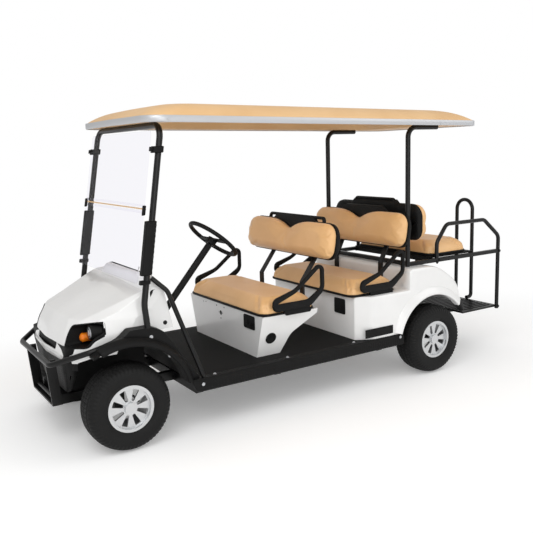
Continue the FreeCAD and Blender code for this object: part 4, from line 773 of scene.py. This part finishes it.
def arc(start, stop, radius, count=40, axle=FRONT_AXLE):
    """Points on a circle about an axle, seen from the side, between two angles."""
    angle = np.radians(np.linspace(start, stop, count))
    return np.column_stack([axle + radius * np.cos(angle), AXLE_LEVEL + radius * np.sin(angle)])


panel_top = bent(from_axle([(0.2, 0.597), (0.2, 0.613), (0.03, 0.69), (-0.03, 0.736),
                            (-0.165, 0.736), (-0.238, 0.702), (-0.47, 0.3605)]),
                 [0, 0.006, 0.1, 0.03, 0.045, 0.045, 0], 6)
panel = np.concatenate([panel_top, arc(165.6, 60.5, ARCH)])
flare_path = np.insert(arc(66, 166.5, ARCH, 60), 1, 0.558, 1)
section = rounded([(-0.001, 0), (-0.001, 0.07), (0.022, 0.072), (0.05, 0.03), (0.05, 0)],
                  [0.003, 0.008, 0.03, 0.018, 0.002], 6)
near_side = [box_form(panel, 1, 0.5005, 0.578),
             swept_form(flare_path, (0, 1, 0), section * (-1, 1), False)]
made("fender_panels", near_side + [flip(form) for form in near_side], "black_plastic",
     stands_for=["front_fenders"])
brace = bent(from_axle([(-0.206, 0.5155, 1.022), (-0.294, 0.545, 0.935), (-0.493, 0.586, 0.362)]),
             [0, 0.09, 0], 10)
far_brace = np.array(from_axle([(-0.306, -0.545, 0.93), (-0.493, -0.586, 0.362)]))
made("cowl_tubes", [swept_form(tube, (0, 1, 0), circle(0.015, 16), False)
                    for tube in (brace, far_brace)], "black_steel", stands_for=["cowl_braces"])

# %% [markdown]
# Seat cushions and backs are foam under a sewn cover. The cover can't be drawn exactly: it swells
# between its edges. So we stack each pad's outline, remesh it evenly and let Blender's cloth
# inflate it while its underside or its back stays on its board.

# %% Swell a pad as cloth
def points_of(piece):
    """All of a piece's vertices as one table."""
    flat = np.empty(len(piece.data.vertices) * 3)
    piece.data.vertices.foreach_get("co", flat)
    return flat.reshape(-1, 3)


def swell(piece, hold, cap, press=None, pressure=4.0, voxel=0.012, frames=20):
    """Remesh, press the creases in, inflate with cloth, then keep each point within cap."""
    remesh = piece.modifiers.new("even", "REMESH")
    remesh.mode, remesh.voxel_size = "VOXEL", voxel
    apply(piece, remesh)
    start = points_of(piece)
    if press is not None:
        start = start + press(start)
        piece.data.vertices.foreach_set("co", start.ravel())
    held = piece.vertex_groups.new(name="held")
    held.add(np.flatnonzero(hold(start)).tolist(), 1.0, "REPLACE")
    cloth = piece.modifiers.new("cover", "CLOTH")
    cover = cloth.settings
    cover.use_pressure, cover.uniform_pressure_force, cover.quality = True, pressure, 6
    cover.tension_stiffness = cover.compression_stiffness = 12
    cover.shear_stiffness, cover.bending_stiffness = 4, 0.4
    cover.vertex_group_mass, cover.effector_weights.gravity = "held", 0
    cloth.point_cache.frame_start, cloth.point_cache.frame_end = 1, frames
    for step in range(1, frames + 1):
        scene.frame_set(step)
    apply(piece, cloth)
    scene.frame_set(1)
    move = points_of(piece) - start
    far = np.linalg.norm(move, axis=1, keepdims=True)
    move *= np.minimum(1, cap / np.maximum(far, 1e-9))
    piece.data.vertices.foreach_set("co", (start + move).ravel())
    print(piece.name, "swelled up to", round(float(np.minimum(far, cap).max()) * 1000), "mm")
    fine = piece.modifiers.new("fine", "SUBSURF")
    fine.levels = fine.render_levels = 1
    apply(piece, fine)
    piece.data.polygons.foreach_set("use_smooth", np.ones(len(piece.data.polygons), bool))


def pad(name, form, node_name, body, hold, cap, press=None):
    """A soft piece in tan vinyl that stands for this CAD node."""
    piece = made(name, [form], "tan_vinyl", body, [node_name])
    swell(piece, hold, cap, press)


# %% [markdown]
# A cushion is its CAD box with rounded corners. The plan outline is stacked up through a rounded
# edge, and the cloth puffs its top while the lowest 30 mm stays on the seat board.

# %% The three cushions
LIDS = (("front", "front_seat_lid"), ("middle", "middle_seat_lid"), ("rear", "rear_seat_lift"))
for seat, body in LIDS:
    low, high = (np.array(c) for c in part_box(seat + "_seat_cushion"))
    rows = []
    for level, inset in ((0.004, 0.01), (0.01, 0.007), (0.05, 0.006), (0.07, 0.01),
                         (0.086, 0.024), (0.096, 0.05)):
        a, b = low + inset, high - inset
        rows.append(at_level(rectangle(a[:2], b[:2], 0.07), low[2] + level))
    pad(seat + "_bench", stack_form(rows), seat + "_seat_cushion", body,
        lambda p: p[:, 2] < low[2] + 0.03, 0.02)

# %% [markdown]
# A backrest has two lobes: a broad valley runs down from the notch in its top edge, and its cover
# is pulled into it. We lay its outline out flat, stack it through its thickness, press the valley
# in and let the cloth fill both lobes. The shell behind has the same outline and a grab rail.

# %% The three backrests and their shells
LEAN = math.atan(0.16)


def leaned(spots, face, rise):
    """Turn points (ahead, side, up) by the lean about the backrest's lower front edge."""
    c, s = math.cos(LEAN), math.sin(LEAN)
    ahead_by, side, up_by = np.asarray(spots, float).T
    return np.stack([face + ahead_by * c - up_by * s, side,
                     0.985 + rise + ahead_by * s + up_by * c], -1)


def upright(spots, face, rise):
    """The same for the rear bench, whose back stands straight and looks rearward."""
    ahead_by, side, up_by = np.asarray(spots, float).T
    return np.stack([face - ahead_by, side, rise + up_by], -1)


def notched(half, low, high, dip=0.07, spread=0.17, corner=0.1):
    """A backrest's outline seen from the front, with the broad dip in its top edge."""
    corners = [(-half, low), (half, low), (half, high), (spread, high), (0, high - dip),
               (-spread, high), (-half, high)]
    return rounded(corners, [corner * 0.8, corner * 0.8, corner, 0.5, 0.11, 0.5, corner], 9)


def humped(half, low, high, hump=0.25, rise=0.03, corner=0.1):
    """A shell's outline: straight along the top, with a low hump that fills the pad's dip."""
    corners = [(-half, low), (half, low), (half, high), (hump + 0.035, high),
               (hump, high + rise), (-hump, high + rise), (-hump - 0.035, high), (-half, high)]
    return rounded(corners, [corner * 0.8, corner * 0.8, corner, 0.015, 0.02, 0.02, 0.015,
                             corner], 8)


def back_form(place_at, face, rise, half, high, layers, outline):
    """An outline stacked through the back's thickness, each layer moved in by its inset."""
    rows = []
    for ahead_by, inset in layers:
        line = outline(half - inset, inset, high - inset)
        rows.append(place_at(np.insert(line, 0, ahead_by, 1), face, rise))
    return stack_form(rows)


PAD_LAYERS = ((-0.079, 0.02), (-0.076, 0.01), (-0.066, 0.005), (-0.04, 0.004), (-0.024, 0.007),
              (-0.012, 0.016), (-0.006, 0.03))
SHELL_LAYERS = ((-0.0805, 0.004), (-0.084, 0.0), (-0.1, 0.001), (-0.112, 0.01), (-0.118, 0.03),
                (-0.12, 0.06))
BACKS = (("front", leaned, 0.0325, 0.0, 0.556, 0.262),
         ("middle", leaned, -0.6535, 0.02, 0.556, 0.268),
         ("rear", upright, -1.006, 1.03, 0.52, 0.282))
for seat, place_at, face, rise, half, high in BACKS:
    normal = place_at([(1, 0, 0)], 0, 0)[0] - place_at([(0, 0, 0)], 0, 0)[0]
    foot = place_at([(0, 0, 0)], face, rise)[0]

    def depth_of(p):
        """How far a point lies ahead of the pad's face."""
        return (p - foot) @ normal

    def valley(p):
        """Press the face in along the middle, deepest at the top, by a bell of the side."""
        share = np.clip((p[:, 2] - foot[2] - 0.07) / (high - 0.07), 0, 1)
        bell = np.exp(-(p[:, 1] / 0.075) ** 2) * share * np.clip(1 + depth_of(p) / 0.07, 0, 1)
        return -0.03 * bell[:, None] * normal

    pad(seat + "_backrest", back_form(place_at, face, rise, half, high, PAD_LAYERS, notched),
        seat + "_seat_back", "cart", lambda p: depth_of(p) < -0.058, 0.018, valley)
    shell = back_form(place_at, face, rise, half - 0.002, high - 0.002, SHELL_LAYERS, humped)
    reach = 0.36 if seat == "front" else 0.24
    grip = bent([(-0.1, -reach, high - 0.02), (-0.1, -reach + 0.012, high + 0.03),
                 (-0.1, reach - 0.012, high + 0.03), (-0.1, reach, high - 0.02)],
                [0, 0.02, 0.02, 0], 8)
    rail = swept_form(place_at(grip, face, rise), normal, circle(0.012, 14) * (1, 1.3), False)
    made(seat + "_shell", [shell, rail], "black_plastic", stands_for=[seat + "_back_shell"])
    line = notched(half - 0.004, 0.004, high - 0.004)
    seam_line = place_at(np.insert(line, 0, -0.078, 1), face, rise)
    made(seat + "_welt", [swept_form(seam_line, normal, circle(0.0052))], "black_plastic")

# %% [markdown]
# The board under each cushion shows as a thin black lip: a flattened tube swept round its outline.

# %% Board lips
LIP_IN = 0.005
for seat, body in LIDS:
    low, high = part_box(seat + "_seat_cushion")
    line = rectangle((low[0] + LIP_IN, low[1] + LIP_IN), (high[0] - LIP_IN, high[1] - LIP_IN),
                     0.072, 10)
    made(seat + "_board_lip", [swept_form(at_level(line, low[2] + 0.009), (0, 0, 1),
                                          circle(0.009, 14) * (0.8, 1))], "black_plastic", body)

# %% [markdown]
# The rear body is one moulded shell: a low box under the middle bench, a step up to the deck, and
# a tail that curves down behind the wheels. Its side outline is stacked across the cart and drawn
# in near both sides, which rounds every long edge, and booleans open the arches and the well.

# %% Rear body
REAR_ARCH = 0.352


def body_side(inset, foot=0.3603, reach=0.716):
    """The body's side outline (x, z), moved in by inset: seat, step, deck and curved tail."""
    i = inset
    corners = [(reach - i, foot), (reach - i, 0.682 - i), (0.232 - i, 0.682 - i),
               (0.232 - i, 0.84 - i), (-0.06, 0.84 - i), (-0.285 + 0.7 * i, 0.69 - 0.7 * i),
               (-0.345 + i, 0.505), (-0.02 + i, 0.505), (-0.02 + i, foot)]
    line = rounded(corners, [0.002, 0.02, 0.01, 0.03, 0.3, 0.22, 0.01, 0.002, 0.002], 10)
    return line + (REAR_AXLE, 0)


def body_form(half_layers):
    """Side outlines stacked across the cart: (half width, outline settings), both sides."""
    layers = [(-y, *shape) for y, *shape in half_layers] + list(half_layers[::-1])
    return stack_form([np.insert(body_side(*shape), 1, y, 1) for y, *shape in layers])


body = made("rear_shell", [body_form([(0.6, 0.026), (0.5975, 0.014), (0.59, 0.005),
                                      (0.575, 0.001), (0.56, 0)])],
            "white_panel", stands_for=["rear_body"], angle=35)
room = body_form([(0.58, 0.008, 0.3, 0.6), (0.565, 0.008, 0.3, 0.63), (0.51, 0.008, 0.3, 0.714)])
plan = [(0.72, 0.5), (0.716, 0.523), (0.6, 0.595), (0.3, 0.601), (-0.36, 0.601)]
bends = [0.001, 0.02, 0.12, 0.3, 0.001]
plan = rounded(from_axle(plan + [(x, -y) for x, y in plan[::-1]], REAR_AXLE),
               bends + bends[::-1], 6)
wheel_hole = turned_form([(-0.7, 0), (-0.7, REAR_ARCH), (0.7, REAR_ARCH), (0.7, 0)],
                         (REAR_AXLE, 0, AXLE_LEVEL), (0, 1, 0), 120)
seat_well = rounded(from_axle([(0.28, -0.505), (0.7, -0.5), (0.7, 0.5), (0.28, 0.505)],
                              REAR_AXLE), [0.03] * 4, 5)
cut(body, [box_form(plan, 2, 0.2, 1.0)], "INTERSECT")
cut(body, [room, wheel_hole, box_form(seat_well, 2, 0.5, 0.72)], angle=35)
lip_section = rounded([(-0.001, 0), (-0.001, 0.045), (0.012, 0.048), (0.06, 0.02), (0.066, 0)],
                      [0.002, 0.008, 0.02, 0.03, 0.002], 6)
for name, start, stop, count, side, look in (
        ("arch_lips", 15.8, 139, 70, 0.588, "white_panel"),
        ("arch_lip_ends", 139, 149, 8, 0.5885, "black_plastic")):
    lip_path = np.insert(arc(start, stop, REAR_ARCH, count, REAR_AXLE), 1, side, 1)
    lip = swept_form(lip_path, (0, 1, 0), lip_section * (-1, 1), False)
    made(name, [lip, flip(lip)], look, angle=35)

# %% [markdown]
# A tail lamp follows the tail's own curve. We take the piece of the side outline between two
# heights and stack it across the lamp, a little further out in the middle than at its edges.

# %% Tail lamps
slope = body_side(-0.001)
slope = slope[(slope[:, 1] > 0.69) & (slope[:, 1] < 0.81) & (slope[:, 0] < REAR_AXLE)]
lamp_rows = []
for y, grow in ((0.415, 0.0), (0.418, 0.007), (0.45, 0.009), (0.507, 0.007), (0.51, 0.0)):
    row = np.insert(slope + (-0.6 * grow, 0.7 * grow), 1, y, 1)
    lamp_rows.append(np.concatenate([row, row[::-1] - (0, 0, 0.004)]))
red = stack_form(lamp_rows)
made("tail_lenses", [red, flip(red)], "lamp_red", stands_for=["tail_lamps"], angle=60)

# %% [markdown]
# Beside each forward bench stands a hip restraint: one padded tube bent like the side view of a
# sleigh, with its foot bolted to the pod. A closed loop of arcs gives its middle line.

# %% Hip restraints
arms = []
ring = circle(1, 20)
arm_section = 0.0145 * np.sign(ring) * np.abs(ring) ** 0.75
for nose, rise in ((FRONT_AXLE - 1.06, 0.0), (FRONT_AXLE - 1.82, 0.026)):
    low = 0.712 + rise
    tail = nose - 0.392
    loop = rounded([(nose, low), (nose, low + 0.045), (nose - 0.165, low + 0.1),
                    (tail, low + 0.275), (tail, low + 0.085), (tail + 0.12, low)],
                   [0.02, 0.022, 0.2, 0.03, 0.06, 0.09], 9)
    thick = 1 + 0.9 * np.clip((low + 0.1 - loop[:, 1]) / 0.1, 0, 1)
    foot = rounded([(nose - 0.3, low - 0.062), (nose - 0.085, low - 0.062),
                    (nose - 0.06, low - 0.006), (nose - 0.28, low - 0.006)], [0.012] * 4, 5)
    for form in (swept_form(np.insert(loop, 1, 0.5665, 1), (0, 1, 0), arm_section, True, thick),
                 box_form(foot, 1, 0.556, 0.5635)):
        arms += [form, flip(form)]
made("hip_arms", arms, "black_plastic", stands_for=["hip_restraints"])

# %% [markdown]
# The side steps are covered with tread plate: rows of raised lozenges that alternate in direction.
# One small lozenge is copied over the step's side and top, which costs little and holds up close.

# %% Tread plate on the side steps
def lozenge(turn):
    """A low ridge: a long ellipse at its foot, a shorter one at its top, turned by an angle."""
    angle = np.linspace(0, 2 * np.pi, 10, endpoint=False)
    c, s = math.cos(turn), math.sin(turn)
    rows = []
    for reach, height in ((1.0, 0.0), (0.8, 0.0009), (0.35, 0.0014)):
        x, y = 0.0095 * reach * np.cos(angle), 0.0032 * reach * np.sin(angle)
        rows.append(np.stack([c * x - s * y, s * x + c * y, np.full(10, height)], -1))
    return stack_form(rows)


step_low, step_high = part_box("rockers")
run = np.arange(step_low[0] + 0.06, step_high[0] - 0.07, 0.0215)
plates = []
for side in (1, -1):
    lines = [(row, side * step_high[1], level, (0, side, 0))
             for row, level in enumerate((0.286, 0.3015, 0.317, 0.3325))]
    lines += [(row, side * out, step_high[2], (0, 0, 1))
              for row, out in enumerate((0.566, 0.582, 0.598))]
    for row, y, z, axis in lines:
        for turn, tilted in enumerate((-0.75, 0.75)):
            some = run[(np.arange(len(run)) + row) % 2 == turn]
            places = np.column_stack([some, np.full(len(some), y), np.full(len(some), z)])
            plates.append(copies(lozenge(tilted), places, axis))
made("tread_plate", plates, "black_plastic")

# %% [markdown]
# The lamps: a bright bowl turned from a parabola sits behind each clear lens, with a black ring
# round it, and the turn lamp's amber lens is a turned dome with rings pressed into it.

# %% Lamps
HEAD, AMBER = from_axle([(0.128, 0.42, 0.725), (0.178, 0.348, 0.684)])
HEAD_RADIUS, AMBER_RADIUS = 0.04, 0.028
radius = np.linspace(0, 1, 14)
bowl = np.column_stack([0.004 + 0.03 * radius ** 2, (HEAD_RADIUS - 0.002) * radius])
back = np.column_stack([0.002 + 0.03 * radius[::-1] ** 2, HEAD_RADIUS * radius[::-1]])
dome = np.column_stack([0.036 + 0.012 * (1 - radius ** 2), (HEAD_RADIUS - 0.001) * radius])
rim = np.array([(-0.03, 0), (0.034, 0), (0.038, 0.001), (0.039, 0.003), (0.034, 0.005),
                (-0.03, 0.005), (-0.03, 0)]) + (0, HEAD_RADIUS)
cap = np.column_stack([0.024 - 0.014 * radius ** 3 + 0.0006 * np.cos(radius * 26),
                       AMBER_RADIUS * radius])
stem = np.array([(0.004, AMBER_RADIUS), (-0.08, AMBER_RADIUS - 0.003), (-0.08, 0)])
for name, profile, spot, look, nodes, angle in (
        ("lamp_bowls", np.concatenate([bowl, back]), HEAD, "silver_trim", (), 80),
        ("lamp_lenses", np.concatenate([dome, dome[::-1] - (0.003, 0)]), HEAD, "lamp_clear",
         ["headlamps"], 80),
        ("lamp_rings", rim, HEAD, "black_plastic", (), 40),
        ("amber_lenses", np.concatenate([cap, stem]), AMBER, "lamp_amber", ["turn_lamps"], 80)):
    lamp = turned_form(profile, spot, (1, 0, 0), 40)
    made(name, [lamp, flip(lamp)], look, stands_for=nodes, angle=angle)

# %% [markdown]
# Small fittings are what makes a panel look real: the covers, plugs and holes on the seat pod, the
# vent on the rear body and the bare plate on its side, each set a hair proud of its panel.

# %% Covers, plugs and plates
def panel_plate(across_low, across_high, low, high, at, axis, thickness, corner=0.012):
    """A rounded rectangle square to X (axis 0) or Y (axis 1), standing proud of that plane."""
    line = rectangle((across_low, low), (across_high, high), corner, 5)
    return plate_form(np.insert(line, axis, at, 1), np.eye(3)[axis], thickness)


pod_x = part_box("front_seat_pod")[1][0]
body_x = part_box("rear_body")[1][0]
fittings = [
    panel_plate(0.291, 0.434, 0.548, 0.643, pod_x - 0.001, 0, 0.007),
    panel_plate(0.318, 0.352, 0.578, 0.612, pod_x + 0.005, 0, 0.004, 0.008),
    panel_plate(0.292, 0.420, 0.532, 0.648, body_x - 0.001, 0, 0.006),
    panel_plate(-0.552, -0.280, 0.378, 0.442, 0.5995, 1, 0.0018, 0.006),
    turned_form([(0, 0), (0, 0.012), (0.006, 0.012), (0.009, 0.008), (0.009, 0)],
                (pod_x + 0.006, 0.39, 0.585), (1, 0, 0), 20),
]
plug = turned_form([(-0.004, 0), (-0.004, 0.041), (0.0015, 0.041), (0.003, 0.038), (0.003, 0.031),
                    (0.0018, 0.029), (0.0018, 0)], (0.4665, 0.4885, 0.49), (0, 0.955, -0.297), 40)
fittings += [plug, flip(plug)]
for y, z, r, steps in ((-0.045, 0.587, 0.017, 20), (-0.108, 0.632, 0.0055, 20),
                       (0.006, 0.634, 0.0055, 20), (-0.047, 0.545, 0.0055, 20),
                       (-0.072, 0.587, 0.004, 20), (-0.02, 0.587, 0.004, 20),
                       (-0.317, 0.628, 0.004, 16), (-0.276, 0.632, 0.004, 16)):
    fittings.append(turned_form([(0.0004, 0), (0.0004, r), (-0.004, r), (-0.004, 0)],
                                (pod_x, y, z), (1, 0, 0), steps))
made("panel_fittings", fittings, "black_plastic")

# %% [markdown]
# Bolts: one hexagon head with a domed washer, copied to each place where the real cart is bolted
# together, with its axis along the panel's normal.

# %% Bolts
def bolt_head(size):
    """A washer, then a hexagon with a chamfered top, up the Z axis."""
    hexagon = np.linspace(0, 2 * np.pi, 12, endpoint=False)
    six = np.cos(np.pi / 6) / np.cos((hexagon % (np.pi / 3)) - np.pi / 6)
    rows = []
    for reach, height, shape in ((1.7, 0, 1), (1.7, 0.25, 1), (1.05, 0.35, 1), (1, 0.4, six),
                                 (1, 1.0, six), (0.8, 1.15, 1)):
        rows.append(np.stack([reach * size * np.cos(hexagon) * shape,
                              reach * size * np.sin(hexagon) * shape,
                              np.full(12, height * size)], -1))
    return stack_form(rows)


bright = [((1.3735, 0.579, 0.677), (0, 1, 0)), ((1.2595, 0.579, 0.54), (0, 1, 0)),
          ((1.06, 0.6173, 0.325), (0, 1, 0)), ((-0.61, 0.6173, 0.34), (0, 1, 0)),
          ((0.9555, 0.575, 0.36), (0, 0, 1)), ((0.3885, 0.569, 0.36), (0, 0, 1)),
          ((-0.1975, 0.566, 0.36), (0, 0, 1)), ((1.2, 0.5955, 1.957), (0, 1, 0)),
          ((-1.0385, 0.5955, 1.921), (0, 1, 0))]
dark = [((1.245, 0.5, 0.73), (0, 1, 0)), ((-1.12, 0.4955, 0.84), (0, 1, 0)),
        ((-1.8655, 0.496, 0.372), (0, 1, 0)), ((-1.8655, 0.496, 0.855), (0, 1, 0)),
        ((-1.147, 0.4955, 0.855), (0, 1, 0))]
for name, some, look, size in (("bright_bolts", bright, "silver_trim", 0.0065),
                               ("dark_bolts", dark, "black_steel", 0.008)):
    near = np.array(some, float)
    both = np.concatenate([near, near * (1, -1, 1)])
    made(name, [copies(bolt_head(size), both[:, 0], both[:, 1])], look, angle=30)

# %% [markdown]
# The studio is a pale floor that fades into white, three soft lamps and an even sky. White there
# comes from the floor's and the world's own colour as the camera sees them, so the lamps can stay
# at a plain level.

# %% Studio
GLOW, SKY = 0.2, 0.66
SOFTBOXES = (((3.5, 3.2, 4.6), (0, 0, 0.9), 3.2, 92),
             ((1.8, 6.2, 1.9), (0, 0, 0.6), 3.6, 78),
             ((-3.5, 3.5, 3.8), (-0.6, 0, 0.8), 3.0, 40))


def highest(paint, one, other):
    """The larger of two outputs."""
    made = node(paint, "Math", i0=one, i1=other)
    made.operation = "MAXIMUM"
    return made.outputs[0]


def surface(paint, output, kind):
    """Make this the shader that the material or the world shows."""
    tree = paint.node_tree
    tree.links.new(output, tree.nodes[kind + " Output"].inputs["Surface"])


def whiten(paint):
    """Where a ray from the camera, glass or gloss meets the floor, add a little white near the
    cart and turn to plain white further out, so the shadow stays and the edge disappears."""
    shader = paint.node_tree.nodes["Principled BSDF"].outputs[0]
    seen = node(paint, "LightPath").outputs
    ray = highest(paint, highest(paint, seen["Is Camera Ray"], seen["Is Glossy Ray"]),
                  seen["Is Transmission Ray"])
    flat = node(paint, "Mapping", Vector=place(paint), Scale=(0.62, 0.9, 0))
    reach = node(paint, "VectorMath", i0=flat.outputs["Vector"])
    reach.operation = "LENGTH"
    fade = node(paint, "MapRange", Value=reach.outputs["Value"], From_Min=1.5, From_Max=2.7)
    fade.interpolation_type = "SMOOTHSTEP"
    lit, white = [node(paint, "Emission", Color=(1, 1, 1, 1), Strength=strength).outputs[0]
                  for strength in (GLOW, 1.0)]
    both = node(paint, "AddShader", i0=shader, i1=lit).outputs[0]
    faded = node(paint, "MixShader", i0=fade.outputs["Result"], i1=both, i2=white).outputs[0]
    last = node(paint, "MixShader", i0=ray, i1=shader, i2=faded).outputs[0]
    surface(paint, last, "Material")


def studio():
    """The floor, the sky, which is plain white to the camera, and the lamps."""
    bpy.ops.mesh.primitive_plane_add(size=40, location=(0, 0, -0.001))
    floor = bpy.context.object
    floor.name = "floor"
    paint = finish("floor", (0.93, 0.93, 0.93), 0.95, Specular_IOR_Level=0.05)
    whiten(paint)
    floor.data.materials.append(paint)
    world = bpy.data.worlds.new("sky")
    scene.world = world
    world.use_nodes = True
    light = world.node_tree.nodes["Background"]
    light.inputs["Color"].default_value = (1.0, 0.995, 0.985, 1)
    light.inputs["Strength"].default_value = SKY
    shown = node(world, "Background", Color=(1, 1, 1, 1))
    seen = node(world, "LightPath").outputs
    direct = highest(world, seen["Is Camera Ray"], seen["Is Transmission Ray"])
    mix = node(world, "MixShader", i0=direct, i1=light.outputs[0], i2=shown.outputs[0])
    surface(world, mix.outputs[0], "World")
    for spot, aim, size, power in SOFTBOXES:
        lamp = bpy.data.lights.new("softbox", "AREA")
        lamp.energy, lamp.size = power, size
        stand = bpy.data.objects.new("softbox", lamp)
        stand.location = spot
        stand.rotation_mode = "QUATERNION"
        stand.rotation_quaternion = (Vector(aim) - Vector(spot)).to_track_quat("-Z", "Y")
        scene.collection.objects.link(stand)


studio()
